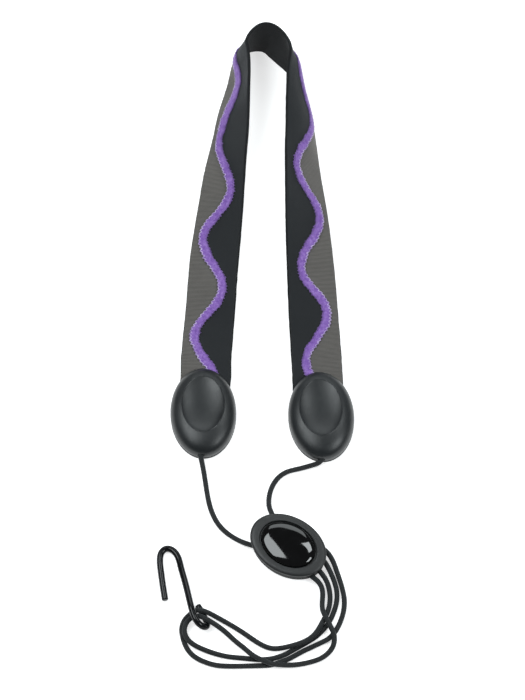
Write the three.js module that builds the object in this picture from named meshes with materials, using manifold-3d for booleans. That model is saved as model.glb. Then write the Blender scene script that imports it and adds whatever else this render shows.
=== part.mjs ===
// Saxophone neck strap: a padded band, two moulded end caps, one cord laced
// through a sliding adjuster, and a wire hook. Millimetres, +Z up. It lies on a
// flat surface at z = 0, with its band standing on edge where it turns round.
import * as THREE from 'three';
import { mergeVertices } from 'three/addons/utils/BufferGeometryUtils.js';
import Module from 'manifold-3d';

// ---------------------------------------------------------------- dimensions
const ORIGIN = [-3.88, 14.83];   // moves the origin to the middle of the strap's base

const BAND_WIDTH = 31.5;        // 1 1/4 inch webbing
const WEBBING_THICKNESS = 1.0;
const PANEL_THICKNESS = 0.4;   // outer and inner face fabrics
const TRIM_THICKNESS = 0.4;    // wavy applique
const LAYER_GAP = 0.6;
const PANEL_INSET = 0.6;        // webbing shows this much beyond the face fabrics
const TRIM_WIDTH = 5.4, TRIM_SWELL = 2.2, SWELL_AT = 192, SWELL_REACH = 34;
// distances along the band at which the applique is nearest the inner edge (even
// entries) and nearest the outer edge (odd entries), from the left cap to the right
const WAVE_CRESTS = [-7, 27, 59, 94, 126, 163, 199, 235, 271, 308, 341, 376, 410, 441, 475, 508];
// where the applique's middle line lies across the band at those distances, in from the band's middle
const WAVE_LEVELS = [6.7, -8.3, 6.7, -8.3, 6.7, -8.3, -0.3, -8.3, 3.0, -6.3, 6.7, -8.3, 6.7, -8.3, 6.7, -8.3];

const CAP = { hw: 20.4, hl: 29.2, baseTop: 2.2, shellBottom: 2.5, top: 13.6 };
const LEFT_CAP = { x: -36.63, y: -43.94, angle: 1.3, cordX: -38.3, cordDir: [-0.02, -1] };
const RIGHT_CAP = { x: 36.31, y: -46.27, angle: 4.0, cordX: 37.4, cordDir: [-0.15, -1] };
const SCOOP = { offset: 4.8, hw: 15.0, hl: 22.0, floor: 9.6 };
const CAP_SCREWS = [14, -9];    // along the cap's own length, from its middle
const SCREW = { head: 2.6, headTop: 1.15, shank: 1.25, top: 7.0 };

const ADJUSTER = { x: 15.63, y: -132.63, axis: [-0.839, 0.545] };  // axis points at the band
const TRAY = { hl: 24.0, hw: 17.1, wall: 1.8, floor: 2.2, top: 7.6 };
const COVER = { hl: 25.0, hw: 18.1, bottom: 7.9, edge: 9.5, top: 10.4, recess: 8.8, recessHl: 18.3, recessHw: 13.7 };
const BADGE = { hl: 17.8, hw: 13.2, bottom: 9.1, side: 9.8, top: 13.2 };
const ADJUSTER_SCREWS = [1.5, 13.5];   // along the adjuster's axis
const RETURN_PIN = { u: -9, v: 2.17, r: 1.05 };

const CORD_RADIUS = 1.5;        // drawn a little under the 3.2 mm cord, to keep gaps
const CHANNEL_RADIUS = 2.1;
const WIRE_RADIUS = 2.0;

// The band's rear face at its outer edge: x, y, z, tilt of the section from flat in
// degrees, and how far the section bows outward.
const BAND_STATIONS = [
  [-52.43, -32.15, 2.63, 0.00, 0.00],
  [-51.64, -25.15, 2.63, 0.00, 0.00],
  [-50.84, -18.15, 2.63, 0.00, 0.00],
  [-50.97, -9.39, 2.62, 0.00, 0.00],
  [-50.61, -2.30, 2.24, -1.00, 0.00],
  [-50.14, 4.58, 1.46, 0.36, 0.00],
  [-49.62, 11.37, 0.64, 1.95, 0.00],
  [-49.06, 18.10, 0.13, 3.57, 0.00],
  [-48.51, 24.78, 0.08, 5.10, 0.00],
  [-47.98, 31.43, 0.08, 6.40, 0.00],
  [-47.50, 38.02, 0.08, 7.25, 0.00],
  [-47.07, 44.67, 0.08, 7.59, 0.00],
  [-46.65, 51.42, 0.08, 7.61, 0.00],
  [-46.15, 58.33, 0.08, 7.75, 0.01],
  [-45.51, 65.36, 0.08, 8.54, 0.00],
  [-44.67, 72.37, 0.08, 10.37, -0.00],
  [-43.71, 79.20, 0.08, 12.96, -0.01],
  [-42.68, 85.91, 0.08, 15.95, -0.02],
  [-41.62, 92.54, 0.08, 19.08, -0.02],
  [-40.56, 99.11, 0.08, 22.13, -0.01],
  [-39.54, 105.65, 0.08, 24.91, 0.01],
  [-38.51, 112.34, 0.08, 27.47, 0.03],
  [-37.34, 119.22, 0.08, 30.06, 0.03],
  [-35.93, 126.24, 0.08, 32.98, -0.02],
  [-34.33, 132.99, 0.08, 36.16, -0.11],
  [-32.73, 139.45, 0.08, 39.31, -0.15],
  [-31.26, 145.71, 0.08, 42.22, -0.08],
  [-29.95, 152.05, 0.08, 44.87, 0.13],
  [-28.64, 158.66, 0.08, 47.55, 0.28],
  [-27.13, 165.50, 0.08, 50.59, 0.06],
  [-25.31, 172.27, 0.10, 54.16, -0.75],
  [-23.41, 178.70, 0.15, 57.95, -1.54],
  [-21.61, 184.95, 0.22, 61.80, -1.65],
  [-20.03, 191.20, 0.31, 65.64, -0.62],
  [-18.36, 197.83, 0.41, 69.74, 1.25],
  [-15.53, 204.81, 0.52, 74.46, 1.73],
  [-9.25, 208.82, 0.68, 83.62, 0.05],
  [-3.31, 209.62, 0.76, 92.96, -0.22],
  [0.59, 209.03, 0.94, 101.75, -0.45],
  [4.38, 205.04, 1.02, 105.41, -0.33],
  [9.30, 200.16, 0.97, 102.94, 0.62],
  [14.10, 195.64, 0.86, 97.56, 2.34],
  [17.46, 191.45, 0.70, 86.99, 5.05],
  [20.31, 185.79, 0.61, 78.75, 5.43],
  [23.05, 179.83, 0.47, 72.26, 5.13],
  [25.66, 173.65, 0.33, 66.57, 4.76],
  [28.01, 167.08, 0.22, 61.52, 4.62],
  [29.89, 160.13, 0.14, 57.50, 4.81],
  [31.21, 153.13, 0.11, 54.68, 4.93],
  [32.22, 146.40, 0.09, 52.59, 4.47],
  [33.21, 139.81, 0.08, 50.58, 3.37],
  [34.23, 133.23, 0.08, 48.47, 2.01],
  [35.27, 126.64, 0.08, 46.19, 0.78],
  [36.34, 120.07, 0.08, 43.65, 0.06],
  [37.43, 113.48, 0.08, 40.79, -0.01],
  [38.52, 106.86, 0.08, 37.71, 0.29],
  [39.58, 100.20, 0.08, 34.55, 0.55],
  [40.60, 93.52, 0.08, 31.42, 0.61],
  [41.57, 86.81, 0.08, 28.38, 0.52],
  [42.48, 80.08, 0.08, 25.45, 0.35],
  [43.33, 73.30, 0.08, 22.67, 0.16],
  [44.10, 66.48, 0.08, 20.11, -0.00],
  [44.78, 59.64, 0.08, 17.79, -0.09],
  [45.37, 52.82, 0.08, 15.67, -0.10],
  [45.90, 46.03, 0.08, 13.67, -0.08],
  [46.39, 39.28, 0.08, 11.68, -0.04],
  [46.86, 32.58, 0.08, 9.63, 0.00],
  [47.32, 25.88, 0.08, 7.47, 0.00],
  [47.78, 19.18, 0.08, 5.31, 0.00],
  [48.23, 12.46, 0.13, 3.27, 0.00],
  [48.66, 5.73, 0.64, 1.48, 0.00],
  [49.07, -1.02, 1.46, 0.06, 0.00],
  [49.44, -7.79, 2.24, -0.82, 0.00],
  [49.76, -14.58, 2.63, 0.00, 0.00],
  [50.02, -21.39, 2.63, 0.00, 0.00],
  [50.31, -28.39, 2.63, 0.00, 0.00],
  [50.61, -35.38, 2.63, 0.00, 0.00],
];
// Centrelines of the cord, stretch by stretch, as it lies.
const CORD_ROUTES = {
  cord_upper_left: [[-38.26, -68.40, 5.00], [-38.20, -72.44, 5.00], [-36.59, -80.00, 2.76], [-35.04, -89.34, 1.64], [-32.55, -103.49, 1.62], [-30.61, -109.64, 1.62], [-28.54, -114.02, 1.62], [-23.69, -120.41, 1.62], [-17.36, -125.35, 1.69], [-10.82, -129.05, 2.70], [-3.35, -132.13, 4.90], [-1.83, -132.55, 4.90]],
  cord_upper_right: [[37.50, -71.00, 5.00], [37.40, -72.86, 5.00], [37.04, -74.23, 4.46], [35.14, -76.60, 3.51], [33.78, -77.31, 3.11], [26.11, -79.22, 1.82], [15.19, -82.13, 1.62], [11.09, -84.68, 1.62], [7.87, -88.32, 1.62], [6.28, -91.13, 1.62], [4.64, -95.71, 1.63], [3.82, -102.17, 2.15], [4.33, -106.55, 3.04], [6.52, -112.49, 4.90], [9.16, -116.54, 4.90]],
  cord_run_front_outgoing: [[24.48, -146.79, 4.90], [28.23, -149.79, 4.90], [33.18, -153.58, 3.51], [35.84, -157.49, 2.97], [36.48, -162.26, 2.86], [36.09, -168.54, 3.38], [36.71, -173.95, 4.67], [38.43, -177.82, 5.43], [43.04, -188.01, 4.88], [43.28, -192.47, 3.52], [42.41, -195.47, 2.76], [40.64, -198.05, 2.19], [37.11, -201.20, 1.70], [31.37, -203.98, 1.62], [22.02, -206.25, 1.88], [15.66, -207.07, 2.90], [9.38, -207.27, 4.54], [4.81, -206.67, 5.06], [-2.63, -203.42, 5.06], [-5.34, -201.78, 4.82], [-10.87, -196.63, 3.30], [-15.66, -192.50, 2.86], [-22.63, -186.17, 3.64], [-28.85, -182.01, 5.53]],
  cord_bight_inner: [[-29.28, -181.77, 5.70], [-31.69, -180.48, 6.63], [-33.06, -179.67, 6.71], [-35.94, -177.84, 6.12], [-39.01, -176.75, 5.63], [-42.16, -177.44, 5.32], [-44.76, -179.35, 5.01], [-46.49, -182.07, 4.80], [-46.97, -183.65, 4.76], [-47.07, -186.98, 4.76], [-46.67, -188.57, 4.68], [-45.08, -191.27, 4.11], [-41.70, -193.99, 2.94]],
  cord_run_front_returning: [[-41.26, -194.24, 2.83], [-32.81, -197.92, 1.66], [-22.11, -201.06, 1.62], [-4.71, -202.99, 1.62], [1.65, -203.13, 1.62], [6.40, -202.50, 1.62], [12.51, -200.47, 1.62], [25.01, -193.38, 1.62], [31.81, -189.02, 1.62], [36.42, -184.50, 1.62], [40.30, -179.39, 1.62], [43.99, -170.47, 1.62], [45.13, -164.15, 1.62], [44.71, -157.63, 1.63], [42.16, -149.89, 2.41], [40.13, -145.65, 3.44], [37.73, -141.93, 4.90], [34.25, -138.62, 4.90]],
  cord_run_rear_outgoing: [[30.21, -143.13, 4.90], [34.59, -147.80, 4.88], [37.45, -151.25, 3.42], [38.99, -153.93, 2.69], [40.41, -158.48, 1.94], [40.95, -164.87, 1.62], [40.11, -170.67, 1.62], [38.74, -174.61, 1.68], [37.44, -177.41, 2.10], [34.46, -183.70, 4.36], [30.71, -189.06, 5.01], [26.93, -191.98, 5.06], [22.54, -193.98, 4.98], [18.02, -195.26, 4.46], [10.36, -196.36, 2.55], [7.20, -196.39, 2.05], [4.11, -195.84, 1.74], [-1.70, -193.16, 1.62], [-18.84, -181.53, 1.70], [-23.03, -179.17, 2.17], [-28.39, -176.47, 3.41]],
  cord_bight_outer: [[-28.84, -176.25, 3.55], [-35.74, -173.68, 5.89], [-39.02, -173.04, 5.53], [-41.95, -173.72, 4.23], [-44.44, -175.54, 3.15], [-46.58, -177.70, 2.45], [-48.63, -182.03, 1.80], [-48.81, -185.20, 1.62], [-46.98, -193.01, 1.62], [-43.99, -198.40, 1.62]],
  cord_run_rear_returning: [[-43.66, -198.80, 1.62], [-41.54, -200.88, 1.62], [-37.46, -203.45, 1.62], [-33.00, -205.33, 1.62], [-28.36, -206.65, 1.62], [-18.75, -207.35, 1.62], [3.82, -206.74, 1.62], [8.49, -205.61, 1.62], [16.00, -202.63, 1.62], [24.40, -197.91, 1.62], [37.38, -191.52, 1.62], [41.29, -188.75, 1.62], [45.08, -183.51, 1.62], [48.17, -176.10, 1.62], [49.61, -168.19, 1.62], [49.19, -161.80, 1.62], [47.79, -155.53, 1.62], [45.36, -147.69, 1.68], [42.56, -140.09, 2.68], [40.00, -136.21, 3.86], [37.68, -134.27, 4.88], [32.10, -131.13, 4.90]],
  cord_inside_left: [[-1.49, -132.64, 4.90], [10.22, -138.64, 4.90], [24.19, -146.59, 4.90]],
  cord_inside_right: [[9.37, -116.82, 4.90], [12.50, -120.01, 4.90], [17.24, -123.55, 4.90], [22.41, -126.50, 4.90], [31.78, -130.99, 4.90]],
  cord_inside_return: [[33.97, -138.41, 4.90], [25.98, -133.22, 4.90], [24.91, -132.79, 4.90], [23.75, -132.80, 4.90], [22.68, -133.26, 4.90], [21.87, -134.09, 4.90], [21.44, -135.17, 4.90], [21.45, -136.33, 4.90], [21.91, -137.40, 4.90], [22.74, -138.21, 4.90], [29.95, -142.89, 4.90]],
};
// Centreline of the hook wire: from its open tip, over the seat, down the shank and
// round the eye.
const HOOK_ROUTE = [
  [-59.10, -164.86, 2.10],
  [-60.67, -154.98, 2.10],
  [-62.18, -144.08, 2.10],
  [-62.45, -141.09, 2.10],
  [-62.39, -138.06, 2.10],
  [-62.03, -136.06, 2.10],
  [-61.66, -135.12, 2.10],
  [-61.14, -134.26, 2.10],
  [-60.43, -133.50, 2.10],
  [-59.59, -132.90, 2.10],
  [-58.64, -132.53, 2.10],
  [-57.66, -132.42, 2.10],
  [-56.67, -132.58, 2.10],
  [-55.70, -132.96, 2.10],
  [-54.80, -133.50, 2.10],
  [-54.00, -134.14, 2.10],
  [-53.30, -134.88, 2.12],
  [-52.16, -136.53, 2.17],
  [-51.71, -137.42, 2.21],
  [-50.99, -139.27, 2.35],
  [-50.46, -141.19, 2.59],
  [-49.33, -146.03, 3.34],
  [-47.34, -153.61, 4.98],
  [-45.96, -159.29, 6.40],
  [-43.48, -170.69, 9.36],
  [-43.02, -172.61, 9.78],
  [-42.53, -174.50, 10.00],
  [-41.97, -176.39, 10.06],
  [-40.88, -179.23, 10.10],
  [-39.92, -180.99, 9.88],
  [-38.72, -182.53, 9.45],
  [-38.02, -183.15, 9.07],
  [-37.29, -183.63, 8.53],
  [-36.54, -183.97, 7.92],
  [-35.79, -184.17, 7.28],
  [-35.08, -184.17, 6.52],
  [-34.46, -183.95, 5.72],
  [-33.95, -183.53, 5.00],
  [-33.61, -182.87, 4.27],
  [-33.43, -182.06, 3.62],
  [-33.41, -181.20, 3.16],
  [-33.55, -180.31, 2.84],
  [-33.81, -179.38, 2.54],
  [-34.60, -177.50, 2.15],
  [-36.92, -173.04, 2.10],
  [-38.94, -169.58, 2.10],
];

// ------------------------------------------------------------------- helpers
const wasm = await Module();
wasm.setup();

// A closed geometry as a solid: shared vertices merged, collapsed triangles dropped,
// faces turned to point outward.
function solid(geometry) {
  let g = geometry.clone();
  for (const name of Object.keys(g.attributes)) if (name !== 'position') g.deleteAttribute(name);
  g = mergeVertices(g, 1e-4);
  const p = g.attributes.position, idx = g.index.array;
  const tri = [];
  for (let i = 0; i < idx.length; i += 3) {
    const [a, b, c] = [idx[i], idx[i + 1], idx[i + 2]];
    if (a !== b && b !== c && c !== a) tri.push(a, b, c);
  }
  let volume = 0;
  const A = new THREE.Vector3(), B = new THREE.Vector3(), C = new THREE.Vector3();
  for (let i = 0; i < tri.length; i += 3) {
    A.fromBufferAttribute(p, tri[i]); B.fromBufferAttribute(p, tri[i + 1]); C.fromBufferAttribute(p, tri[i + 2]);
    volume += A.dot(B.cross(C));
  }
  if (volume < 0) for (let i = 0; i < tri.length; i += 3) [tri[i], tri[i + 1]] = [tri[i + 1], tri[i]];
  return new wasm.Manifold(new wasm.Mesh({
    numProp: 3,
    vertProperties: Float32Array.from(p.array),
    triVerts: Uint32Array.from(tri),
  }));
}

function toGeometry(manifold) {
  const m = manifold.getMesh();
  const g = new THREE.BufferGeometry();
  g.setAttribute('position', new THREE.BufferAttribute(new Float32Array(m.vertProperties), 3));
  g.setIndex(new THREE.BufferAttribute(new Uint32Array(m.triVerts), 1));
  g.computeVertexNormals();
  return g;
}

const strap = new THREE.Group();
function part(name, body, color, roughness, metalness = 0) {
  const g = body.isBufferGeometry ? toGeometry(solid(body)) : toGeometry(body);
  const mesh = new THREE.Mesh(g, new THREE.MeshStandardMaterial({ color, roughness, metalness }));
  mesh.name = name;
  strap.add(mesh);
}

// A turned profile about +Z, stretched to an oval.
function oval(profile, hw, hl, segments = 32) {
  const g = new THREE.LatheGeometry(profile.map(([r, z]) => new THREE.Vector2(r, z)), segments);
  g.rotateX(Math.PI / 2);
  g.scale(hw, hl, 1);
  return g;
}
function cylinder(r, z0, z1, x = 0, y = 0, segments = 12) {
  const g = new THREE.CylinderGeometry(r, r, z1 - z0, segments);
  g.rotateX(Math.PI / 2);
  g.translate(x, y, (z0 + z1) / 2);
  return g;
}
function box(x0, x1, y0, y1, z0, z1) {
  const g = new THREE.BoxGeometry(x1 - x0, y1 - y0, z1 - z0);
  g.translate((x0 + x1) / 2, (y0 + y1) / 2, (z0 + z1) / 2);
  return g;
}
const place = (g, x, y, angle) => { g.rotateZ(angle * Math.PI / 180); g.translate(x, y, 0); return g; };

// A smooth curve through given points, one step per point.
class Route extends THREE.CatmullRomCurve3 {
  getPointAt(t, target) { return this.getPoint(t, target); }
  getTangentAt(t, target) { return this.getTangent(t, target); }
}
function tube(points, radius, sides) {
  const shape = new THREE.Shape();
  for (let i = 0; i < sides; i++) {
    const a = (i + 0.5) / sides * 2 * Math.PI;
    shape[i ? 'lineTo' : 'moveTo'](radius * Math.cos(a), radius * Math.sin(a));
  }
  shape.closePath();
  const curve = new Route(points.map((p) => new THREE.Vector3(...p)), false, 'centripetal');
  return new THREE.ExtrudeGeometry(shape, { steps: points.length - 1, extrudePath: curve });
}

// A route lengthened straight on past one end.
const extend = (pts, atStart, mm) => {
  const p = pts.map((q) => new THREE.Vector3(...q));
  const [a, b] = atStart ? [p[0], p[1]] : [p[p.length - 1], p[p.length - 2]];
  const e = a.clone().add(a.clone().sub(b).normalize().multiplyScalar(mm)).toArray();
  return atStart ? [e, ...pts] : [...pts, e];
};

// ---------------------------------------------------------------------- band
// The rear face as a ruled surface, with the face side along its normal.
const W = BAND_WIDTH;
const stations = BAND_STATIONS.map(([x, y, z, tilt, bow]) => ({ o: new THREE.Vector3(x, y, z), tilt: tilt * Math.PI / 180, bow }));
stations.forEach((s, i) => {
  const a = stations[Math.max(0, i - 1)].o, b = stations[Math.min(stations.length - 1, i + 1)].o;
  const t = new THREE.Vector2(b.x - a.x, b.y - a.y).normalize();
  const inward = new THREE.Vector3(t.y, -t.x, 0);
  s.w = inward.clone().multiplyScalar(Math.cos(s.tilt)).add(new THREE.Vector3(0, 0, Math.sin(s.tilt)));
  s.n = inward.clone().multiplyScalar(-Math.sin(s.tilt)).add(new THREE.Vector3(0, 0, Math.cos(s.tilt)));
  s.chord = W * (1 - 2.667 * (s.bow / W) ** 2);
});
const rear = (s, u) => s.o.clone().addScaledVector(s.w, (u + 1) / 2 * s.chord).addScaledVector(s.n, s.bow * (1 - u * u));
let run = 0;
stations.forEach((s, i) => { s.d = i ? (run += rear(s, 0).distanceTo(rear(stations[i - 1], 0))) : 0; });
const FIRST = stations[2].d;    // the band leaves the left cap's tail stations here
stations.forEach((s) => { s.d -= FIRST; });
const surface = (d, u, lift) => {
  let i = 1;
  while (i < stations.length - 1 && stations[i].d < d) i++;
  const a = stations[i - 1], b = stations[i], f = (d - a.d) / (b.d - a.d);
  const P = rear(a, u).lerp(rear(b, u), f);
  const before = stations[Math.max(0, i - 2)], after = stations[Math.min(stations.length - 1, i + 1)];
  const along = rear(b, u).sub(rear(before, u)).normalize().lerp(rear(after, u).sub(rear(a, u)).normalize(), f);
  const h = 0.08, across = (s) => rear(s, u + h).sub(rear(s, u - h));
  const side = across(a).lerp(across(b), f);
  const normal = side.cross(along).normalize();
  if (normal.dot(a.n) < 0) normal.negate();
  return P.addScaledVector(normal, lift);
};
// A sheet between two edges across the band, from one lift off the rear face to another.
function sheet(distances, columns, from, to, bottom, top) {
  const rows = distances.length, positions = [], index = [];
  const at = (layer, i, j) => (layer * rows + i) * (columns + 1) + j;
  for (const lift of [bottom, top])
    for (let i = 0; i < rows; i++)
      for (let j = 0; j <= columns; j++) {
        const u0 = from(distances[i]), u1 = to(distances[i]);
        positions.push(...surface(distances[i], u0 + (u1 - u0) * j / columns, lift).toArray());
      }
  const quad = (a, b, c, d) => index.push(a, b, c, a, c, d);
  for (let i = 0; i < rows - 1; i++) {
    for (let j = 0; j < columns; j++) {
      quad(at(0, i, j), at(0, i + 1, j), at(0, i + 1, j + 1), at(0, i, j + 1));
      quad(at(1, i, j), at(1, i, j + 1), at(1, i + 1, j + 1), at(1, i + 1, j));
    }
    quad(at(0, i, 0), at(1, i, 0), at(1, i + 1, 0), at(0, i + 1, 0));
    quad(at(0, i, columns), at(0, i + 1, columns), at(1, i + 1, columns), at(1, i, columns));
  }
  for (let j = 0; j < columns; j++) {
    quad(at(0, 0, j), at(0, 0, j + 1), at(1, 0, j + 1), at(1, 0, j));
    const e = rows - 1;
    quad(at(0, e, j), at(1, e, j), at(1, e, j + 1), at(0, e, j + 1));
  }
  const g = new THREE.BufferGeometry();
  g.setAttribute('position', new THREE.Float32BufferAttribute(positions, 3));
  g.setIndex(index);
  return g;
}
const BAND_START = stations[0].d, BAND_END = stations[stations.length - 1].d;
const steps = (a, b, n) => Array.from({ length: n + 1 }, (_, i) => a + (b - a) * i / n);
const wave = (d) => {
  let k = 0;
  while (k < WAVE_CRESTS.length - 2 && WAVE_CRESTS[k + 1] < d) k++;
  const f = Math.min(1, Math.max(0, (d - WAVE_CRESTS[k]) / (WAVE_CRESTS[k + 1] - WAVE_CRESTS[k])));
  return WAVE_LEVELS[k] + (WAVE_LEVELS[k + 1] - WAVE_LEVELS[k]) * (1 - Math.cos(Math.PI * f)) / 2;
};
const trimHalf = (d) => {
  const slope = (wave(d + 0.5) - wave(d - 0.5)) / 1.0;
  const swell = TRIM_SWELL * Math.cos(Math.PI / 2 * Math.min(1, Math.abs(d - SWELL_AT) / SWELL_REACH)) ** 2;
  return (TRIM_WIDTH + swell) / 2 * Math.hypot(1, slope);
};
const u = (mm) => mm / (W / 2);
const cut = (capShape, x) => solid(place(cylinder(3.4, -1, 9, 0, x), capShape.x, capShape.y, capShape.angle));
const holes = cut(LEFT_CAP, CAP_SCREWS[0]).add(cut(RIGHT_CAP, CAP_SCREWS[0]));
const z1 = WEBBING_THICKNESS, z2 = z1 + LAYER_GAP, z3 = z2 + PANEL_THICKNESS, z4 = z3 + LAYER_GAP, z5 = z4 + TRIM_THICKNESS;
// rows are closer together where the band twists
const along = [...steps(BAND_START, 130, 9), ...steps(130, 375, 66).slice(1), ...steps(375, BAND_END, 9).slice(1)];
part('band_webbing', solid(sheet(along, 6, () => -1, () => 1, 0, z1)).subtract(holes), 0x2b2d30, 0.9);
const panelEdge = 1 - u(PANEL_INSET);
part('band_outer_panel', solid(sheet(along, 3, () => -panelEdge, (d) => u(wave(d) - 0.2), z2, z3)).subtract(holes), 0x5f5d59, 0.95);
part('band_inner_panel', solid(sheet(along, 3, (d) => u(wave(d) + 0.2), () => panelEdge, z2, z3)).subtract(holes), 0x2a2c2f, 0.95);
part('band_wave_trim', solid(sheet(steps(BAND_START + 8, BAND_END - 8, 92), 2,
  (d) => u(wave(d) - trimHalf(d)), (d) => u(wave(d) + trimHalf(d)), z4, z5)).subtract(holes), 0x8a62b8, 0.85);

// ------------------------------------------------------------------ end caps
function endCap(prefix, cap) {
  const put = (g) => solid(place(g, cap.x, cap.y, cap.angle));
  const angle = cap.angle * Math.PI / 180;
  // front shell: a hollow oval dome with a thumb scoop, a slot for the band and two bosses
  let shell = put(oval([[0, 13.6], [0.22, 13.5], [0.42, 13.1], [0.6, 12.4], [0.75, 11.3], [0.87, 9.8], [0.95, 7.9], [0.99, 5.8], [1, 4.0], [1, CAP.shellBottom],
    [0.9, CAP.shellBottom], [0.9, 5.4], [0.86, 6.8], [0.78, 7.5], [0.6, 7.8], [0, 7.9]], CAP.hw, CAP.hl));
  const boss = (y) => put(cylinder(2.9, CAP.shellBottom, 8.4, 0, y));
  const bore = (y) => put(cylinder(1.6, 1, SCREW.top + 0.35, 0, y));
  for (const y of CAP_SCREWS) shell = shell.add(boss(y));
  for (const y of CAP_SCREWS) shell = shell.subtract(bore(y));
  const ball = new THREE.SphereGeometry(1, 28, 16);
  ball.rotateX(Math.PI / 2);
  ball.scale(SCOOP.hw * 1.1, SCOOP.hl * 1.1, 6.6);
  ball.translate(0, SCOOP.offset, SCOOP.floor + 6.6);
  shell = shell.subtract(put(ball));
  // the band's slot follows the band, not the cap
  const end = cap === LEFT_CAP ? stations.slice(0, 3) : stations.slice(-3).reverse();
  const tail = rear(end[0], 0), mouth = rear(end[2], 0);
  const dir = Math.atan2(mouth.y - tail.y, mouth.x - tail.x) * 180 / Math.PI - 90;
  const slot = box(-W / 2 - 0.6, W / 2 + 0.6, -0.8, 34, 2.3, 6.1);
  place(slot, tail.x, tail.y, dir);
  let band = solid(slot);
  for (const y of CAP_SCREWS) band = band.subtract(boss(y));
  shell = shell.subtract(band);
  // cord exit, along the cord's own route
  const route = CORD_ROUTES[`cord_upper_${prefix}`];
  const inside = route.filter(([x, y]) => Math.hypot(x - route[0][0], y - route[0][1]) < 12);
  const yEnd = cap.y - CAP.hl * Math.cos(angle);
  shell = shell.subtract(solid(tube(extend(inside, true, 3), CHANNEL_RADIUS - 0.1, 12)));
  part(`${prefix}_cap_shell`, shell, 0x303336, 0.45);
  // flat base with recessed screw holes
  let base = put(oval([[0, CAP.baseTop], [0.985, CAP.baseTop], [1, 1.7], [1, 0.5], [0.98, 0], [0, 0]], CAP.hw, CAP.hl));
  for (const y of CAP_SCREWS) base = base.subtract(put(cylinder(SCREW.head + 0.3, -1, SCREW.headTop + 0.3, 0, y))).subtract(put(cylinder(SCREW.shank + 0.35, 0, 3, 0, y)));
  part(`${prefix}_cap_base`, base, 0x3a3d40, 0.5);
  CAP_SCREWS.forEach((y, i) => part(`${prefix}_cap_screw_${i ? 'lower' : 'upper'}`,
    put(screw(y)), 0x777777, 0.35, 1));
  // flattened stop on the cord's end
  const stop = cylinder(1, -2.2, 2.2, 0, 0, 20);
  stop.rotateX(Math.PI / 2);
  stop.scale(3.4, 1, 2.0);
  stop.translate(cap.cordX, yEnd + 7.3, 5.0);
  part(`${prefix}_cord_stop`, stop, 0x8c8c88, 0.4, 1);
}
function screw(y) {
  const g = new THREE.LatheGeometry([[0, 0.15], [SCREW.head, 0.15], [SCREW.head, SCREW.headTop], [SCREW.shank, SCREW.headTop + 0.05], [SCREW.shank, SCREW.top - 0.6], [0.6, SCREW.top], [0, SCREW.top]]
    .map(([r, z]) => new THREE.Vector2(r, z)), 12);
  g.rotateX(Math.PI / 2);
  g.translate(0, y, 0);
  return g;
}
endCap('left', LEFT_CAP);
endCap('right', RIGHT_CAP);

// ------------------------------------------------------------------ adjuster
// local +Y of each oval runs along the adjuster's axis
const AXIS_ANGLE = Math.atan2(ADJUSTER.axis[1], ADJUSTER.axis[0]) * 180 / Math.PI - 90;
const inAdjuster = (g) => solid(place(g, ADJUSTER.x, ADJUSTER.y, AXIS_ANGLE));
const near = (pts, fromStart) => {
  const keep = pts.filter(([x, y]) => Math.hypot(x - ADJUSTER.x, y - ADJUSTER.y) < 31);
  return extend(keep, fromStart, 0.6);
};
let channels = null;
for (const [name, end] of [['cord_upper_left', false], ['cord_upper_right', false], ['cord_run_front_outgoing', true],
  ['cord_run_front_returning', false], ['cord_run_rear_outgoing', true], ['cord_run_rear_returning', false]]) {
  const t = solid(tube(near(CORD_ROUTES[name], end), CHANNEL_RADIUS, 12));
  channels = channels ? channels.add(t) : t;
}
for (const name of ['cord_inside_left', 'cord_inside_right', 'cord_inside_return'])
  channels = channels.add(solid(tube(extend(extend(CORD_ROUTES[name], true, 0.3), false, 0.3), CHANNEL_RADIUS, 12)));
let tray = inAdjuster(oval([[0, 0], [0.96, 0], [1, 1.0], [1, TRAY.top], [1 - TRAY.wall / TRAY.hw, TRAY.top], [1 - TRAY.wall / TRAY.hw, TRAY.floor], [0, TRAY.floor]], TRAY.hw, TRAY.hl));
tray = tray.subtract(channels);
const pin = cylinder(RETURN_PIN.r, 1.5, TRAY.top, RETURN_PIN.v, RETURN_PIN.u, 12);
tray = tray.add(inAdjuster(pin));
for (const y of ADJUSTER_SCREWS) tray = tray.subtract(inAdjuster(cylinder(SCREW.head + 0.3, -1, SCREW.headTop + 0.3, 0, y))).subtract(inAdjuster(cylinder(SCREW.shank + 0.35, 0, 3, 0, y)));
part('adjuster_tray', tray, 0x36383a, 0.5);
let cover = inAdjuster(oval([[0, COVER.recess], [COVER.recessHw / COVER.hw, COVER.recess], [COVER.recessHw / COVER.hw, COVER.top], [0.88, 10.3], [0.96, 9.9], [1, COVER.edge], [1, COVER.bottom + 0.3], [0.985, COVER.bottom], [0, COVER.bottom]], COVER.hw, COVER.hl));
for (const y of ADJUSTER_SCREWS) cover = cover.add(inAdjuster(cylinder(2.4, TRAY.floor + 0.35, COVER.bottom + 0.3, 0, y))).subtract(inAdjuster(cylinder(1.6, 1, SCREW.top + 0.35, 0, y)));
part('adjuster_cover', cover, 0x3c3e40, 0.42);
part('adjuster_badge', inAdjuster(oval([[0, BADGE.bottom], [1, BADGE.bottom], [1, BADGE.side], [0.96, 10.6], [0.9, 11.2], [0.8, 11.7], [0.65, 12.2], [0.5, 12.6], [0.3, 13.0], [0, BADGE.top]], BADGE.hw, BADGE.hl)), 0x0b0b0d, 0.12);
ADJUSTER_SCREWS.forEach((y, i) => part(`adjuster_screw_${i + 1}`, inAdjuster(screw(y)), 0x777777, 0.35, 1));

// ---------------------------------------------------------------------- hook
part('hook', tube(HOOK_ROUTE, WIRE_RADIUS, 10), 0x101113, 0.2, 0.3);

// ---------------------------------------------------------------------- cord
for (const [name, points] of Object.entries(CORD_ROUTES)) part(name, tube(points, CORD_RADIUS, 8), 0x2c2f30, 0.85);

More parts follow.
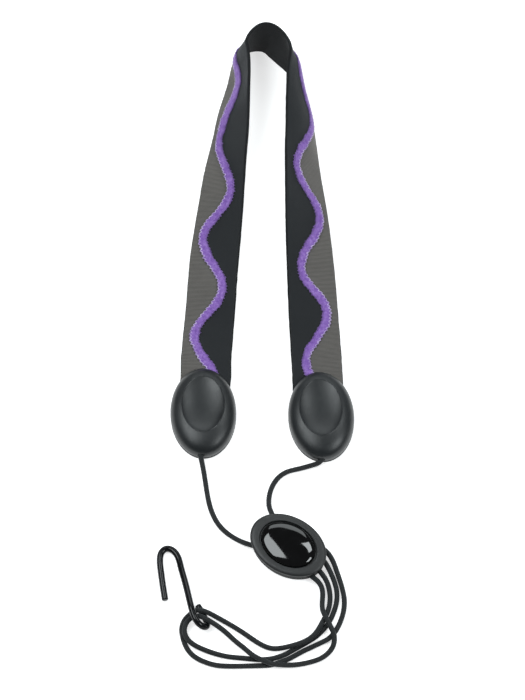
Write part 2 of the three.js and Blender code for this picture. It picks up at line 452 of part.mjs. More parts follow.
strap.position.set(-ORIGIN[0], -ORIGIN[1], 0);
export default strap;
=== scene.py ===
# Saxophone neck strap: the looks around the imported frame. Lengths below are in millimetres
# unless they go to Blender, which works in metres.
import math
import random
import bmesh
import bpy
import numpy as np
from mathutils import Matrix, Vector


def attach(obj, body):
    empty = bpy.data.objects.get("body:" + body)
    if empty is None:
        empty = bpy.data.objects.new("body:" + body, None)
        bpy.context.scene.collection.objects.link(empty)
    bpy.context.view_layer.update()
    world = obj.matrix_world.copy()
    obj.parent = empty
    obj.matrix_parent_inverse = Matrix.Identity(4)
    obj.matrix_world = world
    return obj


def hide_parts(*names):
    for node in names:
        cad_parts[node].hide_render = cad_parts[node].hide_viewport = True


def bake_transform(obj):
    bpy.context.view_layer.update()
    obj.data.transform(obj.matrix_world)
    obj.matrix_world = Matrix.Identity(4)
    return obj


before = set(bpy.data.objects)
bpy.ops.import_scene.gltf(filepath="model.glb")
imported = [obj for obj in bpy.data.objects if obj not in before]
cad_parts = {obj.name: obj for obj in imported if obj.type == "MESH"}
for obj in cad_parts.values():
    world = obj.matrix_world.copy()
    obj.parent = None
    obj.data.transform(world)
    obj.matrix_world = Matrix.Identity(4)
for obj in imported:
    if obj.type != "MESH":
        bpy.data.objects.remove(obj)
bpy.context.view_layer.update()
scene = bpy.context.scene
MM = 0.001

# ------------------------------------------------------------------ routes and stations, as in the CAD source
ROUTE_UPPER_LEFT = [(-34.41,-79.24,5),(-34.33,-80.87,5),(-34.36,-82.46,5),(-34.4,-84.05,5),(-34.41,-85.65,5),(-34.32,-87.27,5),(-34.07,-88.71,4.46),(-33.72,-90.2,3.96),
(-33.36,-91.73,3.51),(-33.02,-93.27,3.11),(-32.71,-94.83,2.76),(-32.41,-96.39,2.45),(-32.13,-97.95,2.19),(-31.87,-99.5,1.98),(-31.62,-101.06,1.82),
(-31.39,-102.61,1.7),(-31.16,-104.17,1.64),(-30.93,-105.74,1.62),(-30.7,-107.31,1.62),(-30.47,-108.88,1.62),(-30.22,-110.45,1.62),
(-29.96,-112.02,1.62),(-29.68,-113.6,1.62),(-29.38,-115.18,1.62),(-29.04,-116.75,1.62),(-28.67,-118.32,1.62),(-28.26,-119.88,1.62),
(-27.8,-121.43,1.62),(-27.3,-122.96,1.62),(-26.73,-124.47,1.62),(-26.1,-125.97,1.62),(-25.41,-127.43,1.62),(-24.66,-128.85,1.62),
(-23.83,-130.24,1.62),(-22.94,-131.57,1.62),(-21.97,-132.85,1.62),(-20.92,-134.07,1.62),(-19.81,-135.24,1.62),(-18.63,-136.34,1.62),
(-17.41,-137.39,1.62),(-16.13,-138.37,1.62),(-14.81,-139.3,1.63),(-13.48,-140.18,1.69),(-12.14,-141.02,1.79),(-10.81,-141.81,1.95),
(-9.51,-142.54,2.15),(-8.23,-143.23,2.4),(-6.94,-143.88,2.7),(-5.58,-144.51,3.04),(-4.13,-145.12,3.44),(-2.6,-145.74,3.88),(-1.04,-146.35,4.37),
(0.53,-146.96,4.9),(2.05,-147.38,4.9)]
ROUTE_UPPER_RIGHT = [(41.54,-81.23,5),(41.37,-82.81,5),(41.36,-84.43,5),(41.39,-86.07,5),(41.28,-87.69,5),(40.92,-89.06,4.46),(40.16,-90.34,3.96),(39.02,-91.43,3.51),
(37.66,-92.14,3.11),(36.17,-92.56,2.76),(34.63,-92.89,2.45),(33.09,-93.25,2.19),(31.54,-93.64,1.98),(29.99,-94.05,1.82),(28.44,-94.46,1.7),
(26.87,-94.85,1.64),(25.28,-95.22,1.62),(23.7,-95.58,1.62),(22.12,-95.96,1.62),(20.58,-96.4,1.62),(19.07,-96.96,1.62),(17.63,-97.65,1.62),
(16.25,-98.51,1.62),(14.97,-99.51,1.62),(13.78,-100.62,1.62),(12.71,-101.84,1.62),(11.75,-103.15,1.62),(10.9,-104.52,1.62),(10.16,-105.96,1.62),
(9.51,-107.45,1.62),(8.97,-108.98,1.62),(8.52,-110.54,1.63),(8.16,-112.13,1.69),(7.91,-113.76,1.79),(7.75,-115.39,1.95),(7.7,-117,2.15),
(7.75,-118.55,2.4),(7.93,-120,2.7),(8.21,-121.38,3.04),(8.61,-122.76,3.44),(9.11,-124.2,3.88),(9.71,-125.73,4.37),(10.4,-127.32,4.9),
(11.19,-128.72,4.9),(12.07,-130.08,4.9),(13.04,-131.37,4.9)]
ROUTE_FRONT_RUN = [(28.36,-161.62,4.9),(29.66,-162.54,4.9),(30.9,-163.56,4.9),(32.11,-164.62,4.9),(33.32,-165.56,4.49),(34.56,-166.49,4.11),(35.83,-167.42,3.79),
(37.06,-168.41,3.51),(38.15,-169.55,3.28),(39.05,-170.87,3.1),(39.72,-172.32,2.97),(40.13,-173.87,2.89),(40.32,-175.47,2.85),(40.36,-177.09,2.86),
(40.29,-178.72,2.92),(40.18,-180.32,3.03),(40.05,-181.87,3.18),(39.97,-183.37,3.38),(39.96,-184.79,3.63),(40.05,-186.15,3.93),(40.25,-187.48,4.28),
(40.59,-188.78,4.67),(41.06,-190.07,5.09),(41.66,-191.36,5.38),(42.31,-192.65,5.43),(42.98,-193.99,5.29),(43.65,-195.43,5.16),(44.35,-196.92,5.05),
(45.07,-198.41,5),(45.8,-199.87,4.99),(46.45,-201.35,5),(46.92,-202.84,4.88),(47.19,-204.28,4.46),(47.26,-205.76,3.97),(47.16,-207.3,3.52),
(46.84,-208.84,3.11),(46.29,-210.3,2.76),(45.49,-211.64,2.45),(44.52,-212.88,2.19),(43.43,-214.02,1.98),(42.25,-215.07,1.82),(40.99,-216.03,1.7),
(39.65,-216.88,1.64),(38.24,-217.62,1.62),(36.76,-218.26,1.62),(35.25,-218.81,1.62),(33.71,-219.29,1.62),(32.16,-219.72,1.62),(30.61,-220.11,1.62),
(29.04,-220.46,1.66),(27.48,-220.78,1.75),(25.9,-221.08,1.88),(24.32,-221.35,2.07),(22.73,-221.58,2.3),(21.14,-221.77,2.58),(19.54,-221.9,2.9),
(17.95,-221.98,3.28),(16.36,-222.04,3.7),(14.8,-222.09,4.15),(13.26,-222.1,4.54),(11.73,-222.03,4.81),(10.2,-221.83,4.98),(8.69,-221.5,5.06),
(7.18,-220.99,5.05),(5.68,-220.35,5.01),(4.19,-219.66,4.99),(2.71,-218.96,5.02),(1.25,-218.25,5.06),(-0.14,-217.47,5.01),(-1.46,-216.61,4.82),
(-2.66,-215.64,4.49),(-3.76,-214.62,4.13),(-4.83,-213.57,3.81),(-5.88,-212.51,3.53),(-6.99,-211.46,3.3),(-8.15,-210.42,3.12),(-9.35,-209.4,2.98),
(-10.57,-208.37,2.9),(-11.78,-207.33,2.86),(-12.97,-206.28,2.87),(-14.13,-205.2,2.93),(-15.27,-204.13,3.03),(-16.41,-203.06,3.19),
(-17.56,-202.01,3.39),(-18.75,-201,3.64),(-19.99,-200.04,3.94),(-21.27,-199.14,4.29),(-22.57,-198.28,4.68),(-23.88,-197.47,5.12),
(-25.19,-196.72,5.61),(-26.49,-196.01,6.15),(-27.81,-195.31,6.63),(-29.18,-194.5,6.71),(-30.6,-193.59,6.43),(-32.06,-192.67,6.12),
(-33.57,-191.94,5.85),(-35.13,-191.58,5.63),(-36.73,-191.72,5.46),(-38.28,-192.27,5.32),(-39.68,-193.11,5.17),(-40.88,-194.18,5.01),
(-41.86,-195.45,4.88),(-42.61,-196.9,4.8),(-43.09,-198.48,4.76),(-43.29,-200.14,4.76),(-43.19,-201.81,4.76),(-42.79,-203.4,4.68),
(-42.11,-204.84,4.46),(-41.2,-206.1,4.11),(-40.13,-207.19,3.67),(-38.92,-208.13,3.25),(-37.6,-208.95,2.88),(-36.21,-209.69,2.55),
(-34.78,-210.37,2.28),(-33.32,-211,2.05),(-31.86,-211.6,1.87),(-30.4,-212.19,1.74),(-28.93,-212.75,1.66),(-27.44,-213.29,1.62),(-25.94,-213.81,1.62),
(-24.42,-214.3,1.62),(-22.88,-214.75,1.62),(-21.34,-215.17,1.62),(-19.79,-215.55,1.62),(-18.23,-215.89,1.62),(-16.66,-216.18,1.62),
(-15.09,-216.41,1.62),(-13.5,-216.59,1.62),(-11.92,-216.74,1.62),(-10.33,-216.88,1.62),(-8.74,-217.02,1.62),(-7.16,-217.18,1.62),(-5.58,-217.34,1.62),
(-3.99,-217.51,1.62),(-2.41,-217.67,1.62),(-0.83,-217.82,1.62),(0.76,-217.93,1.62),(2.35,-217.99,1.62),(3.94,-218.01,1.62),(5.53,-217.96,1.62),
(7.12,-217.83,1.62),(8.71,-217.63,1.62),(10.28,-217.33,1.62),(11.84,-216.93,1.62),(13.38,-216.45,1.62),(14.9,-215.9,1.62),(16.39,-215.3,1.62),
(17.83,-214.61,1.62),(19.23,-213.85,1.62),(20.61,-213.04,1.62),(21.98,-212.22,1.62),(23.36,-211.42,1.62),(24.75,-210.62,1.62),(26.13,-209.82,1.62),
(27.51,-209.02,1.62),(28.89,-208.21,1.62),(30.27,-207.39,1.62),(31.65,-206.55,1.62),(33.02,-205.7,1.62),(34.38,-204.8,1.62),(35.69,-203.85,1.62),
(36.93,-202.82,1.62),(38.1,-201.71,1.62),(39.22,-200.53,1.62),(40.3,-199.33,1.62),(41.37,-198.1,1.62),(42.4,-196.87,1.62),(43.34,-195.58,1.62),
(44.18,-194.22,1.62),(44.93,-192.81,1.62),(45.62,-191.36,1.62),(46.24,-189.87,1.62),(46.83,-188.36,1.62),(47.37,-186.84,1.62),(47.87,-185.3,1.62),
(48.3,-183.75,1.62),(48.64,-182.18,1.62),(48.88,-180.59,1.62),(49.01,-178.98,1.62),(49.06,-177.35,1.62),(49.02,-175.72,1.62),(48.87,-174.08,1.62),
(48.59,-172.46,1.63),(48.2,-170.86,1.7),(47.73,-169.28,1.8),(47.2,-167.73,1.96),(46.64,-166.21,2.16),(46.04,-164.72,2.41),(45.4,-163.27,2.7),
(44.73,-161.85,3.05),(44.01,-160.48,3.44),(43.26,-159.16,3.88),(42.47,-157.91,4.37),(41.61,-156.76,4.9),(40.61,-155.52,4.9),(39.47,-154.41,4.9),
(38.13,-153.45,4.9)]
ROUTE_REAR_RUN = [(34.09,-157.96,4.9),(35.29,-159.04,4.9),(36.41,-160.19,4.9),(37.46,-161.39,4.9),(38.47,-162.63,4.88),(39.45,-163.72,4.35),(40.41,-164.87,3.87),
(41.33,-166.08,3.42),(42.16,-167.37,3.03),(42.87,-168.76,2.69),(43.45,-170.22,2.39),(43.92,-171.74,2.14),(44.29,-173.31,1.94),(44.58,-174.9,1.79),
(44.77,-176.5,1.68),(44.85,-178.1,1.63),(44.83,-179.7,1.62),(44.72,-181.25,1.62),(44.53,-182.74,1.62),(44.29,-184.15,1.62),(43.99,-185.5,1.62),
(43.61,-186.82,1.62),(43.16,-188.12,1.63),(42.62,-189.44,1.68),(42,-190.8,1.81),(41.32,-192.24,2.1),(40.6,-193.78,2.66),(39.86,-195.38,3.33),
(39.11,-196.98,3.93),(38.34,-198.53,4.36),(37.52,-200.01,4.64),(36.63,-201.4,4.82),(35.66,-202.69,4.94),(34.59,-203.89,5.01),(33.43,-204.98,5.05),
(32.16,-205.95,5.06),(30.81,-206.81,5.06),(29.39,-207.56,5.06),(27.92,-208.23,5.03),(26.42,-208.81,4.98),(24.92,-209.32,4.89),(23.41,-209.74,4.72),
(21.9,-210.09,4.46),(20.4,-210.38,4.1),(18.89,-210.62,3.66),(17.37,-210.84,3.24),(15.82,-211.03,2.87),(14.24,-211.19,2.55),(12.66,-211.26,2.27),
(11.08,-211.22,2.05),(9.52,-211.03,1.87),(7.99,-210.67,1.74),(6.49,-210.16,1.65),(5.02,-209.52,1.62),(3.58,-208.79,1.62),(2.18,-207.99,1.62),
(0.82,-207.14,1.62),(-0.51,-206.25,1.62),(-1.81,-205.34,1.62),(-3.1,-204.41,1.62),(-4.39,-203.47,1.62),(-5.67,-202.54,1.62),(-6.95,-201.61,1.62),
(-8.25,-200.7,1.62),(-9.57,-199.8,1.62),(-10.89,-198.92,1.62),(-12.23,-198.05,1.62),(-13.59,-197.19,1.63),(-14.96,-196.36,1.7),(-16.34,-195.55,1.81),
(-17.74,-194.76,1.97),(-19.15,-194,2.17),(-20.56,-193.26,2.43),(-21.96,-192.55,2.73),(-23.36,-191.85,3.08),(-24.74,-191.19,3.48),(-26.1,-190.55,3.93),
(-27.46,-189.95,4.42),(-28.86,-189.41,4.96),(-30.31,-188.95,5.51),(-31.86,-188.51,5.89),(-33.5,-188.11,5.9),(-35.14,-187.87,5.53),
(-36.67,-187.98,4.89),(-38.07,-188.55,4.23),(-39.35,-189.41,3.64),(-40.56,-190.37,3.15),(-41.68,-191.4,2.77),(-42.7,-192.53,2.45),
(-43.57,-193.84,2.18),(-44.27,-195.3,1.97),(-44.75,-196.86,1.8),(-44.97,-198.44,1.68),(-44.93,-200.03,1.62),(-44.72,-201.62,1.62),
(-44.41,-203.2,1.62),(-44.05,-204.76,1.62),(-43.61,-206.31,1.62),(-43.1,-207.84,1.62),(-42.49,-209.33,1.62),(-41.77,-210.78,1.62),
(-40.93,-212.15,1.62),(-39.96,-213.44,1.62),(-38.86,-214.63,1.62),(-37.66,-215.71,1.62),(-36.37,-216.67,1.62),(-35,-217.53,1.62),
(-33.58,-218.28,1.62),(-32.12,-218.96,1.62),(-30.62,-219.58,1.62),(-29.12,-220.16,1.62),(-27.59,-220.68,1.62),(-26.05,-221.12,1.62),
(-24.48,-221.48,1.62),(-22.9,-221.74,1.62),(-21.3,-221.92,1.62),(-19.69,-222.04,1.62),(-18.08,-222.11,1.62),(-16.48,-222.16,1.62),
(-14.87,-222.18,1.62),(-13.26,-222.18,1.62),(-11.65,-222.17,1.62),(-10.05,-222.15,1.62),(-8.44,-222.12,1.62),(-6.83,-222.08,1.62),
(-5.22,-222.04,1.62),(-3.61,-222,1.62),(-1.99,-221.96,1.62),(-0.38,-221.92,1.62),(1.23,-221.89,1.62),(2.84,-221.84,1.62),(4.46,-221.78,1.62),
(6.08,-221.7,1.62),(7.7,-221.57,1.62),(9.29,-221.33,1.62),(10.84,-220.94,1.62),(12.37,-220.44,1.62),(13.88,-219.88,1.62),(15.4,-219.31,1.62),
(16.92,-218.73,1.62),(18.41,-218.12,1.62),(19.88,-217.46,1.62),(21.3,-216.72,1.62),(22.7,-215.93,1.62),(24.08,-215.11,1.62),(25.47,-214.29,1.62),
(26.86,-213.49,1.62),(28.28,-212.74,1.62),(29.71,-212.01,1.62),(31.15,-211.31,1.62),(32.59,-210.61,1.62),(34.03,-209.9,1.62),(35.46,-209.19,1.62),
(36.9,-208.47,1.62),(38.35,-207.77,1.62),(39.81,-207.07,1.62),(41.26,-206.35,1.62),(42.66,-205.56,1.62),(43.97,-204.65,1.62),(45.17,-203.58,1.62),
(46.26,-202.39,1.62),(47.25,-201.09,1.62),(48.15,-199.73,1.62),(48.96,-198.34,1.62),(49.71,-196.91,1.62),(50.38,-195.45,1.62),(51,-193.97,1.62),
(51.55,-192.46,1.62),(52.05,-190.93,1.62),(52.48,-189.39,1.62),(52.85,-187.82,1.62),(53.15,-186.23,1.62),(53.36,-184.63,1.62),(53.49,-183.02,1.62),
(53.53,-181.41,1.62),(53.47,-179.81,1.62),(53.31,-178.21,1.62),(53.07,-176.63,1.62),(52.78,-175.05,1.62),(52.44,-173.48,1.62),(52.07,-171.92,1.62),
(51.67,-170.36,1.62),(51.22,-168.81,1.62),(50.74,-167.25,1.62),(50.25,-165.68,1.62),(49.75,-164.1,1.63),(49.24,-162.52,1.68),(48.73,-160.95,1.79),
(48.21,-159.39,1.94),(47.67,-157.86,2.14),(47.09,-156.37,2.39),(46.44,-154.92,2.68),(45.7,-153.53,3.03),(44.85,-152.22,3.42),(43.88,-151.04,3.86),
(42.79,-149.99,4.35),(41.56,-149.1,4.88),(40.26,-148.15,4.9),(38.88,-147.31,4.9),(37.45,-146.58,4.9),(35.98,-145.96,4.9)]
HOOK_WIRE = [(-55.22,-179.69,2.1),(-55.39,-178.7,2.1),(-55.55,-177.72,2.1),(-55.71,-176.73,2.1),(-55.88,-175.74,2.1),(-56.03,-174.76,2.1),(-56.19,-173.77,2.1),
(-56.34,-172.78,2.1),(-56.5,-171.79,2.1),(-56.65,-170.8,2.1),(-56.79,-169.81,2.1),(-56.94,-168.81,2.1),(-57.09,-167.82,2.1),(-57.23,-166.83,2.1),
(-57.37,-165.84,2.1),(-57.51,-164.85,2.1),(-57.64,-163.86,2.1),(-57.78,-162.87,2.1),(-57.91,-161.87,2.1),(-58.05,-160.88,2.1),(-58.18,-159.89,2.1),
(-58.3,-158.91,2.1),(-58.41,-157.91,2.1),(-58.5,-156.92,2.1),(-58.57,-155.92,2.1),(-58.59,-154.92,2.1),(-58.58,-153.91,2.1),(-58.51,-152.89,2.1),
(-58.38,-151.87,2.1),(-58.15,-150.89,2.1),(-57.78,-149.95,2.1),(-57.26,-149.09,2.1),(-56.55,-148.33,2.1),(-55.71,-147.73,2.1),(-54.76,-147.36,2.1),
(-53.78,-147.25,2.1),(-52.79,-147.41,2.1),(-51.82,-147.79,2.1),(-50.92,-148.33,2.1),(-50.12,-148.97,2.1),(-49.42,-149.71,2.12),(-48.81,-150.51,2.14),
(-48.28,-151.36,2.17),(-47.83,-152.25,2.21),(-47.44,-153.16,2.26),(-47.11,-154.1,2.35),(-46.83,-155.06,2.46),(-46.58,-156.02,2.59),(-46.35,-157,2.73),
(-46.13,-157.97,2.87),(-45.91,-158.94,3.02),(-45.68,-159.9,3.17),(-45.45,-160.86,3.34),(-45.21,-161.82,3.52),(-44.96,-162.77,3.71),
(-44.71,-163.72,3.91),(-44.46,-164.67,4.12),(-44.21,-165.62,4.33),(-43.95,-166.56,4.55),(-43.7,-167.5,4.76),(-43.46,-168.44,4.98),
(-43.22,-169.38,5.2),(-42.98,-170.33,5.43),(-42.75,-171.27,5.66),(-42.53,-172.22,5.9),(-42.3,-173.17,6.15),(-42.08,-174.12,6.4),(-41.87,-175.07,6.65),
(-41.65,-176.02,6.9),(-41.45,-176.97,7.15),(-41.24,-177.92,7.4),(-41.03,-178.87,7.64),(-40.83,-179.81,7.88),(-40.63,-180.76,8.11),
(-40.43,-181.7,8.34),(-40.22,-182.65,8.59),(-40.02,-183.6,8.85),(-39.81,-184.56,9.11),(-39.6,-185.52,9.36),(-39.38,-186.49,9.59),
(-39.14,-187.44,9.78),(-38.9,-188.39,9.92),(-38.65,-189.33,10),(-38.38,-190.27,10.03),(-38.09,-191.22,10.06),(-37.77,-192.17,10.08),
(-37.41,-193.12,10.1),(-37,-194.06,10.1),(-36.55,-194.96,10.03),(-36.04,-195.82,9.88),(-35.47,-196.62,9.68),(-34.84,-197.36,9.45),
(-34.14,-197.98,9.07),(-33.41,-198.46,8.53),(-32.66,-198.8,7.92),(-31.91,-199,7.28),(-31.2,-199,6.52),(-30.58,-198.78,5.72),(-30.07,-198.36,5),
(-29.73,-197.7,4.27),(-29.55,-196.89,3.62),(-29.53,-196.03,3.16),(-29.67,-195.14,2.84),(-29.93,-194.21,2.54),(-30.3,-193.26,2.31),
(-30.72,-192.33,2.15),(-31.18,-191.41,2.1),(-31.64,-190.52,2.1),(-32.1,-189.63,2.1),(-32.57,-188.75,2.1),(-33.04,-187.87,2.1),(-33.53,-187,2.1),
(-34.02,-186.13,2.1),(-34.53,-185.27,2.1),(-35.06,-184.41,2.1)]
BAND_STATIONS = [(-48.555,-46.976,2.63,0,0),(-47.756,-39.977,2.63,0,0),(-46.957,-32.977,2.63,0,0),(-47.085,-24.218,2.625,0,0),(-46.733,-17.126,2.236,-1,0),
(-46.262,-10.247,1.461,0.36,0),(-45.735,-3.462,0.643,1.95,0),(-45.184,3.267,0.127,3.57,0),(-44.632,9.954,0.08,5.1,0),(-44.101,16.598,0.08,6.4,0),
(-43.62,23.193,0.08,7.25,0),(-43.189,29.837,0.08,7.59,0.002),(-42.765,36.594,0.08,7.61,0.004),(-42.273,43.502,0.08,7.75,0.006),
(-41.63,50.532,0.08,8.54,0.003),(-40.793,57.537,0.08,10.37,-0.005),(-39.829,64.37,0.08,12.96,-0.014),(-38.797,71.082,0.08,15.95,-0.021),
(-37.737,77.712,0.08,19.08,-0.022),(-36.683,84.281,0.08,22.13,-0.014),(-35.662,90.823,0.08,24.91,0.006),(-34.626,97.514,0.08,27.47,0.03),
(-33.464,104.394,0.08,30.06,0.033),(-32.051,111.408,0.08,32.98,-0.017),(-30.451,118.162,0.08,36.16,-0.106),(-28.85,124.622,0.08,39.31,-0.151),
(-27.382,130.882,0.08,42.22,-0.078),(-26.072,137.218,0.08,44.87,0.131),(-24.759,143.83,0.08,47.55,0.281),(-23.249,150.669,0.08,50.59,0.057),
(-21.43,157.439,0.101,54.16,-0.749),(-19.531,163.866,0.15,57.95,-1.537),(-17.735,170.116,0.222,61.8,-1.653),(-16.153,176.367,0.309,65.64,-0.62),
(-14.479,183.004,0.408,69.74,1.249),(-11.645,189.979,0.52,74.46,1.733),(-5.368,193.991,0.677,83.62,0.052),(0.574,194.786,0.762,92.96,-0.221),
(4.468,194.196,0.944,101.75,-0.449),(8.259,190.206,1.019,105.41,-0.333),(13.179,185.333,0.969,102.94,0.617),(17.982,180.812,0.858,97.56,2.337),
(21.337,176.625,0.699,86.99,5.048),(24.187,170.961,0.608,78.75,5.427),(26.933,165.001,0.469,72.27,5.132),(29.537,158.817,0.331,66.57,4.756),
(31.891,152.252,0.216,61.52,4.621),(33.768,145.304,0.143,57.5,4.814),(35.092,138.298,0.106,54.68,4.926),(36.104,131.571,0.088,52.59,4.469),
(37.093,124.985,0.08,50.58,3.368),(38.111,118.396,0.08,48.47,2.014),(39.154,111.813,0.08,46.19,0.782),(40.221,105.238,0.08,43.65,0.063),
(41.309,98.65,0.08,40.79,-0.009),(42.396,92.028,0.08,37.71,0.288),(43.458,85.368,0.08,34.55,0.552),(44.476,78.686,0.08,31.42,0.607),
(45.445,71.981,0.08,28.38,0.518),(46.36,65.246,0.08,25.45,0.349),(47.209,58.473,0.08,22.67,0.156),(47.98,51.651,0.08,20.11,-0.003),
(48.658,44.811,0.08,17.79,-0.087),(49.252,37.99,0.08,15.68,-0.105),(49.782,31.201,0.08,13.67,-0.08),(50.268,24.454,0.08,11.68,-0.036),
(50.736,17.751,0.08,9.63,0),(51.202,11.054,0.08,7.47,0),(51.662,4.349,0.08,5.31,0),(52.111,-2.367,0.127,3.27,0),(52.542,-9.098,0.643,1.48,0),
(52.948,-15.848,1.461,0.06,0),(53.318,-22.62,2.236,-0.82,0),(53.641,-29.412,2.625,0,0),(53.897,-36.224,2.63,0,0),(54.195,-43.217,2.63,0,0),
(54.493,-50.211,2.63,0,0)]

BAND_WIDTH = 31.5
WAVE_LEVELS = [6.7, -8.3, 6.7, -8.3, 6.7, -8.3, -0.3, -8.3, 3.0, -6.3, 6.7, -8.3, 6.7, -8.3, 6.7, -8.3]
TRIM_WIDTH, TRIM_SWELL, SWELL_AT, SWELL_REACH = 5.4, 2.2, 192.0, 34.0
WAVE_CRESTS = [-7, 27, 59, 94, 126, 163, 199, 235, 271, 308, 341, 376, 410, 441, 475, 508]
CAP_HW, CAP_HL = 20.4, 29.2
LEFT_CAP = dict(x=-36.63 + 3.88, y=-43.94 - 14.83, angle=1.3)
RIGHT_CAP = dict(x=36.31 + 3.88, y=-46.27 - 14.83, angle=4.0)
ADJUSTER_X, ADJUSTER_Y, ADJUSTER_AXIS = 15.63 + 3.88, -132.63 - 14.83, (-0.839, 0.545)
ADJUSTER_ANGLE = math.degrees(math.atan2(ADJUSTER_AXIS[1], ADJUSTER_AXIS[0])) - 90
CORD_D = 3.2


# ------------------------------------------------------------------ camera
cam_data = bpy.data.cameras.new("camera")
cam = bpy.data.objects.new("camera", cam_data)
scene.collection.objects.link(cam)
cam_data.lens, cam_data.sensor_width = 181.03, 36.0
cam_data.clip_start, cam_data.clip_end = 0.1, 20.0
cam.location = (0.00388, -0.87444, 2.02511)
cam.rotation_euler = (math.radians(23.0), 0.0, 0.0)
scene.camera = cam


# ------------------------------------------------------------------ mesh helpers
def new_object(name, verts, faces, material, smooth=True, uv=None, scale=MM):
    mesh = bpy.data.meshes.new(name)
    v = np.asarray(verts, float) * scale
    mesh.from_pydata(v.tolist(), [], [tuple(int(i) for i in f) for f in faces])
    mesh.validate()
    if uv is not None:
        layer = mesh.uv_layers.new(name="UVMap")
        loops = np.zeros(len(mesh.loops), np.int32)
        mesh.loops.foreach_get("vertex_index", loops)
        if callable(uv):
            uv(mesh, layer, loops)
        else:
            layer.data.foreach_set("uv", np.asarray(uv, float)[loops].ravel())
    mesh.polygons.foreach_set("use_smooth", [smooth] * len(mesh.polygons))
    mesh.materials.append(material)
    mesh.update()
    o = bpy.data.objects.new(name, mesh)
    scene.collection.objects.link(o)
    return o


def grid_faces(rows, cols, wrap_rows=False, wrap_cols=False, start=0):
    """Quads of a rows x cols grid of vertices laid row by row."""
    r = np.arange(rows if wrap_rows else rows - 1)
    c = np.arange(cols if wrap_cols else cols - 1)
    R, C = np.meshgrid(r, c, indexing="ij")
    a = start + R * cols + C
    b = start + R * cols + (C + 1) % cols
    d = start + ((R + 1) % rows) * cols + C
    e = start + ((R + 1) % rows) * cols + (C + 1) % cols
    return np.stack([a, b, e, d], -1).reshape(-1, 4)


def catmull(points, t):
    """Centripetal-free Catmull-Rom through rows of points at fractional indices t."""
    p = np.asarray(points, float)
    p = np.vstack([2 * p[0] - p[1], p, 2 * p[-1] - p[-2]])
    t = np.clip(np.asarray(t, float), 0, len(p) - 3 - 1e-9)
    i = np.floor(t).astype(int)
    f = (t - i)[:, None]
    a, b, c, d = p[i], p[i + 1], p[i + 2], p[i + 3]
    return 0.5 * ((2 * b) + (-a + c) * f + (2 * a - 5 * b + 4 * c - d) * f**2 + (-a + 3 * b - 3 * c + d) * f**3)


def arc(points):
    return np.concatenate([[0], np.cumsum(np.linalg.norm(np.diff(points, axis=0), axis=1))])


def resample(points, step, smooth=0):
    """Evenly spaced points on the smooth curve through the given ones."""
    p = np.asarray(points, float)
    for _ in range(smooth):
        q = p.copy()
        q[1:-1] = 0.25 * p[:-2] + 0.5 * p[1:-1] + 0.25 * p[2:]
        p = q
    fine = catmull(p, np.linspace(0, len(p) - 1, (len(p) - 1) * 8 + 1))
    s = arc(fine)
    n = max(2, int(round(s[-1] / step)) + 1)
    want = np.linspace(0, s[-1], n)
    return np.stack([np.interp(want, s, fine[:, k]) for k in range(3)], 1), want


def frames(points):
    """Rotation-minimising frames along a curve: tangent, normal, binormal."""
    t = np.gradient(points, axis=0)
    t /= np.linalg.norm(t, axis=1)[:, None]
    n = np.zeros_like(t)
    up = np.array([0, 0, 1.0]) if abs(t[0, 2]) < 0.9 else np.array([1.0, 0, 0])
    v = up - t[0] * (up @ t[0])
    n[0] = v / np.linalg.norm(v)
    for i in range(1, len(t)):
        v = n[i - 1] - t[i] * (n[i - 1] @ t[i])
        n[i] = v / np.linalg.norm(v)
    return t, n, np.cross(t, n)


def mirror_uv(u_cells, u_step, v_cells, v_of):
    """UVs in millimetres on a wrapped tube grid, without a seam that runs backwards."""
    def write(mesh, layer, loops):
        cols = u_cells
        row, col = loops // cols, loops % cols
        u = col.astype(float)
        starts = np.zeros(len(mesh.polygons), np.int32)
        totals = np.zeros(len(mesh.polygons), np.int32)
        mesh.polygons.foreach_get("loop_start", starts)
        mesh.polygons.foreach_get("loop_total", totals)
        quad = totals == 4
        for k in range(4):
            idx = starts[quad] + k
            others = np.stack([col[starts[quad] + j] for j in range(4)], 1)
            wraps = (others.max(1) - others.min(1)) > cols / 2
            low = col[idx] < cols / 2
            u[idx] += np.where(wraps & low, cols, 0)
        v = np.where(row < len(v_of), v_of[np.minimum(row, len(v_of) - 1)], v_of[-1])
        layer.data.foreach_set("uv", np.stack([u * u_step, v], 1).ravel())
    return write


